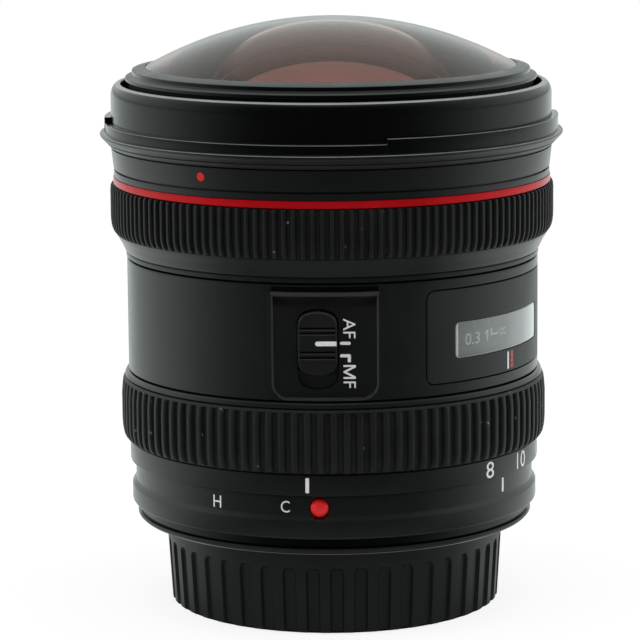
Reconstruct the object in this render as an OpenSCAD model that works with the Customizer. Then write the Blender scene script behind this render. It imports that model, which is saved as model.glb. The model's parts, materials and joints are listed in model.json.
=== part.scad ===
// Fisheye zoom lens, standing on its rear cap.
// Z is the optical axis, towards the front element, and the origin is the middle of the cap's closed end.
// Angles run about Z from the side with the focus switch (-Y), positive towards +X.

/* [Rear cap] */
// Wall of the cap at its open rim
cap_wall = 1.7; // [1.6:0.1:2.4]
// How much narrower the cap is at its closed end
cap_taper = 0.8; // [0.2:0.1:1.2]
// Height of the cap
cap_h = 14.4; // [13.5:0.1:18]
// Thickness of the cap's closed end
cap_floor = 2; // [1.2:0.1:3]
// Height of the smooth lip above the flutes
cap_lip_h = 3.1; // [2.5:0.1:4]
// Number of flutes round the cap
cap_flutes = 45; // [30:1:50]
// Width of one flute
flute_w = 2.1; // [1.2:0.1:2.4]
// Depth of one flute
flute_depth = 0.55; // [0.3:0.05:0.8]

/* [Bayonet mount] */
// Radius of the metal mount flange
mount_r = 32.5; // [31.8:0.1:32.8]
// Thickness of the mount flange
mount_t = 3; // [2.4:0.1:4]
// Outer radius of the bayonet tube
tube_r = 25.4; // [25:0.1:25.8]
// Wall of the bayonet tube
tube_wall = 1.1; // [0.9:0.1:1.3]
// Length of the bayonet tube behind the flange
tube_len = 4.2; // [4:0.1:5]
// How far a bayonet lug stands out of the tube
lug_out = 1.5; // [1.1:0.1:1.6]
// Thickness of a bayonet lug
lug_t = 1.6; // [1.2:0.1:1.7]
// Angle that one bayonet lug covers
lug_angle = 50; // [40:1:54]
// Distance of the mount screws from the flange's edge
screw_inset = 3.1; // [2.6:0.1:3.6]
// Thickness of the rubber gasket round the mount
gasket_t = 1.3; // [1.1:0.1:1.8]
// Height of the gasket's rim
gasket_rim_h = 1.4; // [1:0.1:1.8]

/* [Rear ring] */
// How far the lip of the fixed rear ring lies inside the main barrel
rear_lip_in = 0.3; // [0:0.05:0.5]
// Height of that lip
rear_lip_h = 3.4; // [2.8:0.1:4.5]
// How far the band with the index marks lies inside the main barrel
rear_band_in = 0.95; // [0.7:0.05:1.1]
// Height of that band
rear_band_h = 3.7; // [3.4:0.1:5]
// Thickness of the rear ring's inner plate
rear_plate_t = 2; // [1.8:0.1:2.4]
// Angle of the red mount bead
bead_angle = -4.1; // [-12:0.1:12]
// Radius of the red mount bead
bead_r = 1.5; // [1.2:0.1:1.6]

/* [Zoom ring] */
// How far the sleeve with the focal lengths lies inside the main barrel
sleeve_in = 0.05; // [0:0.05:0.4]
// Height of that sleeve
sleeve_h = 3.9; // [3.2:0.1:5]
// How far the ribs of the zoom rubber stand out of the main barrel
zoom_rubber_out = 1.25; // [1.1:0.05:1.8]
// Height of the zoom rubber
zoom_rubber_h = 10.6; // [10:0.1:13]
// Number of ribs on the zoom rubber
zoom_ribs = 105; // [80:1:110]
// How far the smooth rim above the rubber stands out of the main barrel
zoom_rim_out = 0.8; // [0.5:0.05:1]
// Height of that rim
zoom_rim_h = 1.05; // [0.9:0.05:1.4]
// Turn towards the long end of the zoom
zoom_turn_long = 42; // [38:1:46]
// Turn towards the wide end of the zoom
zoom_turn_wide = 6; // [4:1:8]

/* [Main barrel] */
// Radius of the main barrel
barrel_r = 35; // [34.9:0.05:35.3]
// Height of the main barrel
barrel_h = 19; // [18.8:0.1:21]
// Wall of the main barrel
barrel_wall = 1.1; // [0.9:0.05:1.2]
// Angle of the middle of the switch panel
switch_angle = -1.8; // [-6:0.1:2]
// Width of the switch panel
switch_panel_w = 18.2; // [16:0.1:18.4]
// Depth of the flat switch panel below the barrel
switch_panel_depth = 1.3; // [1.2:0.05:1.4]
// Height of the slope above the switch panel
switch_slope_h = 1.3; // [1:0.1:1.6]
// Width of the switch slot
switch_slot_w = 6.8; // [5.5:0.1:7]
// Height of the switch slot
switch_slot_h = 13.1; // [12:0.1:13.5]
// Travel of the switch knob
switch_travel = 2.1; // [1.5:0.1:2.3]
// Angle of the middle of the window panel
window_angle = 56.75; // [54:0.25:60]
// Width of the window panel
window_panel_w = 36; // [34:0.1:36.6]
// Height of the window panel
window_panel_h = 15.3; // [14.5:0.1:15.6]
// Thickness of the window panel
window_panel_t = 0.55; // [0.45:0.05:0.6]
// Width of the distance window
window_w = 25; // [22:0.1:26]
// Height of the distance window
window_h = 6.1; // [5:0.1:6.2]

/* [Focus ring] */
// How far the plain band at the foot of the focus ring stands out of the main barrel
focus_base_out = 0.1; // [0:0.05:0.3]
// Height of that band
focus_base_h = 1; // [0.8:0.1:1.5]
// Height of the cone between the band and the rubber
focus_cone_h = 3.1; // [2.8:0.1:4]
// How far the ribs of the focus rubber stand out of the main barrel
focus_rubber_out = 2.6; // [2.4:0.05:3]
// Height of the focus rubber
focus_rubber_h = 8.1; // [7.6:0.1:10]
// Number of ribs on the focus rubber
focus_ribs = 150; // [100:1:156]
// Turn of the focus ring from far to near
focus_turn = 44; // [36:1:48]

/* [Front barrel] */
// How far the trim ring stands out of the main barrel
trim_out = 2.1; // [1.9:0.05:2.3]
// Height of the trim ring
trim_h = 1.25; // [1:0.05:1.5]
// How far the name ring's lower edge stands out of the main barrel
name_out = 2; // [1.9:0.05:2.2]
// How much wider the name ring is at its top
name_flare = 0.35; // [0.1:0.05:0.5]
// Height of the plain band under the name ring's groove
name_band_h = 1.4; // [1.2:0.1:1.8]
// Height of the name ring above its groove
name_h = 3.6; // [3.4:0.1:4.5]
// How far the front flange stands out of the main barrel
flange_out = 4.25; // [3.9:0.05:4.6]
// Height of the cone under the front flange
flange_cone_h = 1.75; // [1.4:0.05:2.2]
// Height of the flange's edge
flange_edge_h = 0.6; // [0.4:0.05:0.8]
// How far the hood bayonet stands out of the main barrel
hood_out = 3.3; // [3.1:0.05:3.5]
// Height of the hood ledge above the flange
hood_ledge_h = 1.65; // [1.4:0.05:2.2]
// How far a hood lug stands above the ledge
hood_lug_h = 0.9; // [0.6:0.05:1.2]
// How far a hood lug stands out of the ledge
hood_lug_proud = 0.1; // [0.05:0.05:0.3]
// How far the foot of the front wall flares out, where the hood comes to rest
hood_flare = 0.15; // [0.1:0.05:0.3]
// Angle where the first hood lug starts
hood_lug_angle = 13.3; // [5:0.1:25]
// Angle that one hood lug covers
hood_lug_sweep = 82; // [60:1:90]
// How far the front wall stands out of the main barrel
wall_out = 2.3; // [2.1:0.05:2.5]
// Wall thickness at the front
wall_t = 1.7; // [1.4:0.1:1.8]
// Height of the front wall above the hood ledge
wall_h = 6.55; // [6.2:0.05:8]
// Radius of the rounded top of the front wall
wall_round = 1.3; // [0.8:0.1:1.4]

/* [Optics] */
// Radius of the front element's outer sphere
dome_sphere_r = 64.5; // [62.5:0.1:70]
// Distance from the front wall's bore to the front element's edge
dome_inset = 3.2; // [3:0.1:3.6]
// Height of the front element's apex above the front wall
dome_rise = 10.8; // [9.9:0.05:12]
// Thickness of the front element on the axis
dome_t = 4; // [3.5:0.1:5]
// Radius of the front element's hollow side
dome_hollow_r = 24; // [23:0.1:24.5]
// Wall of the front cell round the second element
second_wall = 1.5; // [1.3:0.1:2.4]
// Wall of the focus cell round its elements
focus_wall = 2.65; // [2.4:0.05:4]
// Width of the rear cell round its elements
rear_wall = 8.05; // [7.6:0.05:9]
// Travel of the front group for one degree of the zoom ring
front_rate = 0.06; // [0.04:0.005:0.065]
// Travel of the rear group for one degree of the zoom ring, against the ring's sense
rear_rate = 0.143; // [0.1:0.005:0.145]
// Travel of the focus group for one degree of the focus ring
focus_rate = 0.057; // [0.04:0.001:0.06]

/* [Iris] */
// How far the open iris is narrower than the rear elements
iris_inset = 1.9; // [1.7:0.1:2.3]
// Width of an iris blade
blade_w = 4.6; // [4.2:0.1:4.8]
// Thickness of an iris blade
blade_t = 0.12; // [0.1:0.01:0.15]
// Distance from one blade to the next along the axis
blade_pitch = 0.22; // [0.2:0.01:0.24]

/* [Fits] */
// Radial clearance of a running fit
run_fit = 0.06; // [0.04:0.01:0.08]
// Clearance between pieces that are fixed to each other
seat_gap = 0.05; // [0.03:0.01:0.06]
// Visible gap between a ring that turns and its neighbour
ring_gap = 0.3; // [0.2:0.05:0.4]

/* [Hidden] */
$fn = 96;

// Colours
black = "#1b1c1e";
rubber_black = "#141415";
dark_metal = "#2b2d30";
bright_metal = "#b9bcc0";
brass_tone = "#b08d4a";
trim_red = "#b3121b";
glass_tint = [0.35, 0.27, 0.27, 0.6];

// Small shared sizes
over = 0.5;
edge = 0.25;
mark_groove = 0.2;
running_gap = 0.05;
pin_r = 0.9;
slot_play = 0.2;

// Heights of the visible stack, from the cap upwards
z_flange = cap_h + 0.1;
z_tube = z_flange - tube_len;
z_rear = z_flange + mount_t;
z_plate = z_rear + rear_plate_t;
z_lip = z_rear + rear_lip_h;
z_band = z_lip + rear_band_h;
z_zoom = z_band + ring_gap / 2;
z_zoom_rubber = z_zoom + sleeve_h;
z_zoom_rim = z_zoom_rubber + zoom_rubber_h;
z_zoom_top = z_zoom_rim + zoom_rim_h;
z_barrel = z_zoom_top + ring_gap;
z_barrel_top = z_barrel + barrel_h;
z_focus = z_barrel_top + ring_gap;
z_focus_cone = z_focus + focus_base_h;
z_focus_rubber = z_focus_cone + focus_cone_h;
z_focus_top = z_focus_rubber + focus_rubber_h;
z_trim = z_focus_top + ring_gap / 3;
z_name = z_trim + trim_h + seat_gap;
z_name_groove = z_name + name_band_h;
z_front = z_name_groove + name_h + seat_gap;
z_edge = z_front + flange_cone_h;
z_edge_top = z_edge + flange_edge_h;
z_ledge = z_edge_top + hood_ledge_h;
z_wall_top = z_ledge + wall_h;
z_apex = z_wall_top + dome_rise;

// Radii of the visible stack
lug_play = 0.3;
cap_inner_r = tube_r + lug_out + lug_play;
cap_r = cap_inner_r + cap_wall;
tube_inner_r = tube_r - tube_wall;
screw_circle_r = mount_r - screw_inset;
gasket_r = mount_r + gasket_t;
rear_lip_r = barrel_r - rear_lip_in;
rear_band_r = barrel_r - rear_band_in;
sleeve_r = barrel_r - sleeve_in;
zoom_rubber_r = barrel_r + zoom_rubber_out;
zoom_rim_r = barrel_r + zoom_rim_out;
focus_base_r = barrel_r + focus_base_out;
focus_rubber_r = barrel_r + focus_rubber_out;
trim_r = barrel_r + trim_out;
name_r = barrel_r + name_out;
flange_r = barrel_r + flange_out;
hood_r = barrel_r + hood_out;
wall_r = barrel_r + wall_out;
cup_gap = 1.4;
cup_r = wall_r - wall_t - cup_gap;
dome_r = wall_r - wall_t - dome_inset;

// Radii of the inner structure, from the main barrel inwards
barrel_foot_t = 2.2;
chassis_r = barrel_r - barrel_foot_t;
chassis_wall = 1.1;
shell_bore_r = chassis_r + run_fit;
skirt_gap = 0.1;
skirt_wall = 1;
skirt_r = chassis_r - chassis_wall - skirt_gap;
motor_w = 5;
motor_r = skirt_r - skirt_wall;
motor_bore_r = motor_r - motor_w;
cam_room = 3.6;
guide_wall = 1;
guide_r = motor_bore_r - cam_room;
guide_bore_r = guide_r - guide_wall;
cam_wall = 1.05;
cam_bore_r = guide_r + run_fit;
cam_r = cam_bore_r + cam_wall;
leg_t = 0.75;
leg_play = 0.3;
leg_r = guide_bore_r - leg_play;
cell_r = leg_r - leg_t - leg_play;
front_tube_wall = 1.3;
front_tube_in = 3.7;
front_tube_r = focus_rubber_r - front_tube_in;
focus_bore_r = front_tube_r + run_fit;
name_seat_in = 0.8;
name_seat_r = name_r - name_seat_in;
screw_land = 3.1;
cell_tube_r = skirt_r - skirt_wall - screw_land;

// Radii of the glass, each in its cell
glass_play = 0.1;
second_r = cell_tube_r - second_wall - glass_play;
focus_glass_r = cell_r - focus_wall - glass_play;
rear_glass_r = cell_r - rear_wall - glass_play;
iris_open_r = rear_glass_r - iris_inset;

// Heights of the inner structure
z_mid = z_barrel + 2;
mid_t = 1.8;
z_stator = z_mid + mid_t + 1.05;
stator_h = 2.55;
z_rotor = z_stator + stator_h + running_gap;
rotor_h = 2.45;
roller_r = 1.4;
z_roller = z_rotor + rotor_h + running_gap + roller_r;
carrier_t = 1.1;
z_drive = z_roller + roller_r + running_gap;
drive_t = 1.5;
z_top_plate = z_focus + 0.6;
top_plate_t = 2;
z_front_base = z_top_plate + top_plate_t;
z_skirt_top = z_front_base - 0.2;
front_base_t = 1.6;

// Zoom and focus travel
front_up = front_rate * zoom_turn_wide;
front_down = front_rate * zoom_turn_long;
rear_up = rear_rate * zoom_turn_long;
rear_down = rear_rate * zoom_turn_wide;
focus_up = focus_rate * focus_turn;
carrier_share = 0.5;
rear_cell_up = 1;
rear_pin_up = 4.5;
front_pin_drop = 4.1;
focus_cell_up = 1.6;
focus_cell_h = 12;
focus_pin_up = 3;
z_rear_cell = z_plate + rear_cell_up;
z_rear_pin = z_plate + rear_pin_up;
z_front_pin = z_mid - front_pin_drop;
z_focus_cell = z_mid + mid_t + focus_cell_up;
z_focus_pin = z_focus_cell + focus_pin_up;
cam_angles = [60, 180, 300];
leg_angles = [0, 120, 240];
leg_half = 12;
front_cell_play = 0.4;
z_front_cell = z_front_base + front_down + front_cell_play;
z_cup = z_front - ring_gap;
rear_cell_h = 13.5;
z_iris = z_rear_cell + rear_cell_h;

// Shapes that repeat

// A plain ring
module ring(r_in, r_out, z0, z1) {
  rotate_extrude() translate([r_in, z0]) square([r_out - r_in, z1 - z0]);
}

// A ring between two angles
module sector(r_in, r_out, z0, z1, a0, a1) {
  rotate([0, 0, a0 - 90])
    rotate_extrude(angle = a1 - a0) translate([r_in, z0]) square([r_out - r_in, z1 - z0]);
}

// Turns what is drawn at the front to an angle about the axis
module at(angle) {
  rotate([0, 0, angle]) children();
}

// Extrudes a flat shape (x right, y up) away from the axis, between two distances
module outward(d0, d1) {
  translate([0, -d0, 0]) rotate([90, 0, 0]) linear_extrude(d1 - d0) children();
}

// A round bar along a radius
module radial_bar(r, d0, d1, z) {
  translate([0, -d0, z]) rotate([90, 0, 0]) cylinder(r = r, h = d1 - d0);
}

// A slot outline with round ends
module slot_outline(w, z0, z1) {
  translate([-w / 2, z0 + w / 2]) square([w, z1 - z0 - w]);
  translate([0, z0 + w / 2]) circle(d = w);
  translate([0, z1 - w / 2]) circle(d = w);
}

// An upright bar whose two ends are flat arcs
module arched_outline(w, z0, z1, end_r) {
  mid = (z0 + z1) / 2;
  intersection() {
    translate([-w / 2, z0]) square([w, mid - z0 + over]);
    translate([0, z0 + end_r]) circle(r = end_r);
  }
  intersection() {
    translate([-w / 2, mid]) square([w, z1 - mid]);
    translate([0, z1 - end_r]) circle(r = end_r);
  }
}

// A rectangle with round corners, from its lower left corner
module round_rect(x0, z0, w, h, r) {
  translate([x0 + r, z0]) square([w - 2 * r, h]);
  translate([x0, z0 + r]) square([w, h - 2 * r]);
  for (x = [x0 + r, x0 + w - r], z = [z0 + r, z0 + h - r])
    translate([x, z]) circle(r = r);
}

// A helical slot cutter: its middle is at height z0 at angle a0 and climbs by rate for each degree
module helix_cutter(r0, r1, a0, a1, z0, rate, half) {
  steps = 14;
  corners = [[r0, -half], [r1, -half], [r1, half], [r0, half]];
  points = [for (i = [0:steps], c = corners)
    let (t = (a1 - a0) * i / steps, a = a0 + t)
    [c[0] * sin(a), -c[0] * cos(a), z0 + rate * t + c[1]]];
  sides = [for (i = [0:steps - 1], k = [0:3])
    let (p = 4 * i + k, q = 4 * i + (k + 1) % 4)
    each [[p, q, q + 4], [p, q + 4, p + 4]]];
  last = 4 * steps;
  ends = [[0, 2, 1], [0, 3, 2], [last, last + 1, last + 2], [last, last + 2, last + 3]];
  polyhedron(points = points, faces = concat(sides, ends));
}

// A glass element with a domed front and a hollow back
module meniscus(r, z_top, dome, thick, hollow, z_back) {
  difference() {
    intersection() {
      translate([0, 0, z_top - dome]) sphere(r = dome, $fn = 160);
      translate([0, 0, z_back]) cylinder(r = r, h = z_top - z_back + 1);
    }
    translate([0, 0, z_top - thick - hollow]) sphere(r = hollow, $fn = 120);
  }
}

// A glass element with two domed faces
module biconvex(r, z_bottom, z_top, dome) {
  intersection() {
    translate([0, 0, z_top - dome]) sphere(r = dome);
    translate([0, 0, z_bottom + dome]) sphere(r = dome);
    translate([0, 0, z_bottom]) cylinder(r = r, h = z_top - z_bottom);
  }
}

// Outline of a ribbed grip: ribs of the given share of the pitch on a floor radius
function ribbed(n, floor_r, tip_r, share) =
  [for (i = [0:n - 1], c = [[0, floor_r], [0.12, tip_r], [share - 0.12, tip_r], [share, floor_r]])
    let (a = 360 * (i + c[0]) / n) c[1] * [cos(a), sin(a)]];

// A ribbed rubber ring: the ribs are cut to the turned crown
module ribbed_grip(n, floor_r, tip_r, share, z0, h, crown) {
  intersection() {
    translate([0, 0, z0 - over]) linear_extrude(h + 2 * over)
      polygon(ribbed(n, floor_r, tip_r + 1, share));
    rotate_extrude() polygon(crown);
  }
}

// Rear cap

tab_play = 0.25;
tab_half = 19;

// One flute, leaning with the cap's taper
module cap_flute() {
  lean = atan(cap_taper / cap_h);
  top = cap_h - cap_lip_h;
  translate([0, -(cap_r - cap_taper), 0]) rotate([lean, 0, 0]) outward(-flute_depth, 2) {
    translate([-flute_w / 2, -1]) square([flute_w, top + 1 - flute_w / 2]);
    translate([0, top - flute_w / 2]) circle(d = flute_w);
  }
}

module rear_cap() {
  foot_r = cap_r - cap_taper;
  line_z = cap_h - 0.7;
  tab_z = z_tube + lug_t + tab_play;
  color(black) {
    difference() {
      rotate_extrude() polygon([[0, 0], [foot_r - edge, 0], [foot_r, edge], [cap_r, line_z - mark_groove],
        [cap_r - mark_groove, line_z], [cap_r, line_z + mark_groove], [cap_r, cap_h],
        [cap_inner_r, cap_h], [cap_inner_r, cap_floor], [0, cap_floor]]);
      for (i = [0:cap_flutes - 1]) at(360 * i / cap_flutes) cap_flute();
    }
    for (a = leg_angles)
      sector(tube_r + lug_play, cap_inner_r + over, tab_z, cap_h - tab_play, a - tab_half, a + tab_half);
  }
}

// Mount

module bayonet_mount() {
  color(bright_metal) difference() {
    union() {
      ring(tube_inner_r, mount_r, z_flange, z_rear);
      ring(tube_inner_r, tube_r, z_tube, z_rear);
      for (a = leg_angles)
        sector(tube_r - over, tube_r + lug_out, z_tube, z_tube + lug_t,
          a - lug_angle / 2, a + lug_angle / 2);
    }
    for (i = [0:3]) at(45 + 90 * i) mount_screw(seat_gap);
  }
}

// One mount screw, grown by a clearance where it is a hole
module mount_screw(grow) {
  translate([0, -screw_circle_r, z_flange + 0.1 - grow]) {
    cylinder(r = 1.6 + grow, h = 1 + grow);
    cylinder(r = 0.9 + grow, h = mount_t + 1.5 + grow);
  }
}

module mount_screws() {
  color(dark_metal) for (i = [0:3]) at(45 + 90 * i) mount_screw(0);
}

module mount_gasket() {
  bore = mount_r + seat_gap;
  z0 = z_flange + 0.1;
  neck_r = gasket_r - 0.75;
  color(rubber_black) rotate_extrude() polygon([[bore, z0], [gasket_r - edge, z0], [gasket_r, z0 + edge],
    [gasket_r, z0 + gasket_rim_h], [neck_r, z0 + gasket_rim_h + 0.3], [neck_r, z_rear], [bore, z_rear]]);
}

contacts = 8;
contact_step = 7;
contact_half = 30;
contact_w = 3.8;
contact_h = 2.9;
z_contact = z_tube - 0.6;
contact_angles = [for (i = [0:contacts - 1]) bead_angle + 180 + contact_step * (i - (contacts - 1) / 2)];

module contact_block() {
  mid = bead_angle + 180;
  color(black) difference() {
    sector(tube_inner_r - contact_w, tube_inner_r - seat_gap, z_contact, z_contact + contact_h,
      mid - contact_half, mid + contact_half);
    for (a = contact_angles) at(a) contact_pin(seat_gap);
  }
}

// One contact pin, grown by a clearance where it is a hole
module contact_pin(grow) {
  translate([0, -(tube_inner_r - contact_w / 2), z_contact - 0.15 - grow])
    cylinder(r = 0.8 + grow, h = contact_h - 0.5 + grow);
}

module contact_pins() {
  color(brass_tone) for (a = contact_angles) at(a) contact_pin(0);
}

gel_frame_t = 1.2;
gel_window = [34, 24];

module gel_filter_frame() {
  z0 = z_contact + contact_h + 0.3;
  color(black) difference() {
    ring(gel_window[1] / 3, tube_inner_r - seat_gap, z0, z0 + gel_frame_t);
    translate([-gel_window[0] / 2, -gel_window[1] / 2, z0 - over])
      cube([gel_window[0], gel_window[1], gel_frame_t + 2 * over]);
  }
}

// Rear ring

module rear_barrel_ring() {
  bore = chassis_r + seat_gap;
  plate_bore = guide_bore_r - 0.5;
  color(black) difference() {
    rotate_extrude() polygon([[plate_bore, z_rear], [rear_lip_r - 2 * edge, z_rear],
      [rear_lip_r, z_rear + 2 * edge], [rear_lip_r, z_lip - edge], [rear_lip_r - edge, z_lip],
      [rear_band_r, z_lip], [rear_band_r, z_band], [bore, z_band], [bore, z_plate], [plate_bore, z_plate]]);
    at(bead_angle) radial_bar(bead_r + seat_gap, rear_band_r - 0.8, rear_band_r + 2, bead_z);
    for (i = [0:3]) at(45 + 90 * i) mount_screw(seat_gap);
  }
}

bead_z = z_lip + 2;

module mount_index_bead() {
  sphere_r = bead_r * 1.15;
  seat = rear_band_r - 0.75;
  color(trim_red) at(bead_angle) intersection() {
    radial_bar(bead_r, seat, rear_band_r + 2, bead_z);
    translate([0, -(rear_band_r - 0.85), bead_z]) sphere(r = sphere_r);
  }
}

// Inner barrels

board_t = 1;
board_gap = 1.2;
board_span = [40, 320];
chip_w = 5;
chip_t = 1;
chip_angles = [70, 110, 215, 260];

module main_board() {
  z0 = z_plate + 0.1;
  inner = cam_r + board_gap;
  outer = chassis_r - chassis_wall - leg_play;
  color("#1d4a2c") {
    sector(inner, outer, z0, z0 + board_t, board_span[0], board_span[1]);
    for (a = chip_angles)
      at(a) translate([-chip_w / 2, -(inner + board_gap + chip_w), z0 + board_t - 0.1])
        cube([chip_w, chip_w, chip_t + 0.1]);
  }
}

key_angle = 180;
key_half = 4.4;
z_key = z_zoom_rubber + 0.5;
key_h = 3;

module chassis_barrel() {
  color(dark_metal) difference() {
    ring(chassis_r - chassis_wall, chassis_r, z_plate, z_mid + mid_t);
    sector(chassis_r - chassis_wall - 1, chassis_r + 1, z_key - 1, z_key + key_h + 1,
      key_angle - zoom_turn_long - key_half - 3, key_angle + zoom_turn_wide + key_half + 3);
  }
}

module guide_barrel() {
  color(dark_metal) difference() {
    union() {
      ring(guide_bore_r, guide_r, z_plate, z_front_base);
      ring(guide_bore_r, chassis_r - chassis_wall - seat_gap, z_mid, z_mid + mid_t);
      ring(guide_bore_r, skirt_r - skirt_wall - 0.2, z_top_plate, z_front_base);
    }
    for (a = cam_angles) {
      at(a) guide_slot(z_rear_pin - rear_down, z_rear_pin + rear_up);
      at(a) guide_slot(z_focus_pin, z_focus_pin + focus_up);
    }
    for (a = leg_angles) at(a) guide_slot(z_front_pin - front_down, z_front_pin + front_up);
    for (i = [0:3]) at(45 + 90 * i) front_screw(seat_gap);
  }
}

// A straight slot in the guide barrel for a pin that travels between two heights
module guide_slot(z0, z1) {
  w = 2 * (pin_r + slot_play);
  outward(guide_bore_r - 1, guide_r + over) slot_outline(w, z0 - w / 2, z1 + w / 2);
}

// Three pins that join a cell to its guide slots and cam slots
module cam_pins(angles, z, inner) {
  for (a = angles) at(a) radial_bar(pin_r, inner, cam_r - 0.1, z);
}

module cam_barrel() {
  half = pin_r + slot_play + 0.15;
  color(dark_metal) difference() {
    ring(cam_bore_r, cam_r, z_plate + 0.3, z_mid - 0.3);
    for (a = cam_angles)
      helix_cutter(cam_bore_r - over, cam_r + over, a - zoom_turn_wide - 3, a + zoom_turn_long + 3,
        z_rear_pin - rear_rate * (zoom_turn_wide + 3), rear_rate, half);
    for (a = leg_angles)
      helix_cutter(cam_bore_r - over, cam_r + over, a - zoom_turn_wide - 3, a + zoom_turn_long + 3,
        z_front_pin + front_rate * (zoom_turn_wide + 3), -front_rate, half);
  }
}

module zoom_drive_key() {
  color(dark_metal)
    sector(cam_r + seat_gap, shell_bore_r - seat_gap, z_key, z_key + key_h,
      key_angle - key_half, key_angle + key_half);
}

// Zoom ring

zoom_seat_r = zoom_rubber_r - 1.05;

module zoom_ring_shell() {
  color(black) rotate_extrude() polygon([[shell_bore_r, z_zoom], [sleeve_r - edge, z_zoom],
    [sleeve_r, z_zoom + edge], [sleeve_r, z_zoom_rubber - seat_gap], [zoom_seat_r, z_zoom_rubber - seat_gap],
    [zoom_seat_r, z_zoom_rim + seat_gap], [zoom_rim_r, z_zoom_rim + seat_gap],
    [zoom_rim_r - 2 * edge, z_zoom_top], [shell_bore_r, z_zoom_top]]);
}

module zoom_ring_rubber() {
  bore = zoom_seat_r + seat_gap;
  floor_r = zoom_rubber_r - 0.65;
  z1 = z_zoom_rim;
  color(rubber_black) ribbed_grip(zoom_ribs, floor_r, zoom_rubber_r, 0.66, z_zoom_rubber, zoom_rubber_h,
    [[bore, z_zoom_rubber], [floor_r - 0.15, z_zoom_rubber], [zoom_rubber_r - 0.25, z_zoom_rubber + 0.7],
      [zoom_rubber_r, z_zoom_rubber + 2.5], [zoom_rubber_r, z1 - 3], [zoom_rubber_r - 0.15, z1 - 1.6],
      [zoom_rubber_r - 0.55, z1], [bore, z1]]);
}

// Main barrel

switch_d = barrel_r - switch_panel_depth;
switch_pad_t = 1.8;
switch_z = z_barrel + 0.3;
switch_slot_z = switch_z + 1.4;
switch_top = z_barrel_top - 1.6;
switch_floor = switch_d - 0.6;
switch_shift = -1.45;
switch_end_r = 5.2;

// The flat recess for the switch: a panel with round lower corners and a slope at its top
module switch_recess() {
  w = switch_panel_w;
  corner = 2.5;
  at(switch_angle) intersection() {
    outward(switch_d - 1, barrel_r + 2) {
      translate([-w / 2, switch_z + corner]) square([w, switch_top - switch_z - corner]);
      translate([-w / 2 + corner, switch_z]) square([w - 2 * corner, corner + 1]);
      for (x = [-1, 1]) translate([x * (w / 2 - corner), switch_z + corner]) circle(r = corner);
    }
    rotate([0, -90, 0]) rotate([0, 0, 180]) linear_extrude(w + 4, center = true)
      polygon([[-switch_z + 2, switch_d], [-switch_z + 2, barrel_r + 3], [-switch_top - 3, barrel_r + 3],
        [-(switch_top - switch_slope_h + barrel_r + 3 - switch_d), barrel_r + 3],
        [-(switch_top - switch_slope_h), switch_d]]);
  }
}

// The slot that the switch knob slides in, with the narrow slit for its stem
module switch_slot() {
  z0 = switch_slot_z;
  z1 = z0 + switch_slot_h;
  at(switch_angle) translate([switch_shift, 0, 0]) {
    outward(switch_floor, barrel_r + 2) arched_outline(switch_slot_w, z0, z1, switch_end_r);
    outward(switch_floor - 3, barrel_r) slot_outline(2.4, z0 + 2.6, z1 - 2.6);
  }
}

knob_h = switch_slot_h - switch_travel - 0.4;
knob_w = switch_slot_w - 0.4;
knob_z = switch_slot_z + switch_travel + 0.2;
knob_end_r = switch_end_r - 0.2;

knob_proud = 0.55;
knob_lift = 0.15;
knob_groove_r = 0.28;
knob_groove_step = 0.75;
knob_bar = 1.68;
stem_w = 1.8;
stem_h = 4;
stem_len = 0.8;

// The knob: a plain bar across its middle with two grooves on either side, and a stem into the slit
module af_switch_knob() {
  proud = switch_d + knob_proud;
  mid = knob_z + knob_h / 2;
  color(black) at(switch_angle) translate([switch_shift, 0, 0]) difference() {
    union() {
      outward(switch_floor + knob_lift, proud) arched_outline(knob_w, knob_z, knob_z + knob_h, knob_end_r);
      outward(switch_floor - stem_len, switch_floor + over)
        slot_outline(stem_w, mid - stem_h / 2, mid + stem_h / 2);
    }
    for (s = [-1, 1], i = [0:1])
      translate([-knob_w, -proud - knob_groove_r / 3, mid + s * (knob_bar + knob_groove_step * i)])
        rotate([0, 90, 0]) cylinder(r = knob_groove_r, h = 2 * knob_w);
  }
}

panel_z = z_barrel + 1.85;
panel_corner = 1.2;
window_z = panel_z + 3.75;
window_shift = -0.55;
window_corner = 0.9;

module window_outline(grow) {
  round_rect(window_shift - window_w / 2 - grow, window_z - grow, window_w + 2 * grow,
    window_h + 2 * grow, window_corner + grow);
}

module panel_outline(grow) {
  round_rect(-window_panel_w / 2 - grow, panel_z - grow, window_panel_w + 2 * grow,
    window_panel_h + 2 * grow, panel_corner + grow);
}

module main_barrel() {
  bore = barrel_r - barrel_wall;
  z_foot = z_mid + mid_t + 0.3;
  color(black) difference() {
    union() {
      rotate_extrude() polygon([[chassis_r + seat_gap, z_barrel], [barrel_r - edge, z_barrel],
        [barrel_r, z_barrel + edge], [barrel_r, z_barrel_top - edge], [barrel_r - edge, z_barrel_top],
        [bore, z_barrel_top], [bore, z_foot], [chassis_r + seat_gap, z_foot]]);
      intersection() {
        at(switch_angle) translate([-10, -barrel_r, z_foot - over])
          cube([20, switch_panel_depth + switch_pad_t, z_barrel_top - z_foot + over]);
        ring(guide_r, bore + over, z_foot, z_barrel_top);
      }
    }
    switch_recess();
    switch_slot();
    intersection() {
      at(window_angle) outward(barrel_r * 0.7, barrel_r + 2) panel_outline(seat_gap);
      ring(barrel_r - window_panel_t - seat_gap, barrel_r + 2, z_barrel, z_barrel_top);
    }
    at(window_angle) outward(barrel_r * 0.7, barrel_r + 2) window_outline(-0.6);
  }
}

module window_panel() {
  color(black) intersection() {
    ring(barrel_r - window_panel_t, barrel_r, z_barrel, z_barrel_top);
    difference() {
      at(window_angle) outward(barrel_r * 0.7, barrel_r + 2) panel_outline(0);
      at(window_angle) outward(barrel_r * 0.6, barrel_r + 3) window_outline(0);
    }
  }
}

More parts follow.
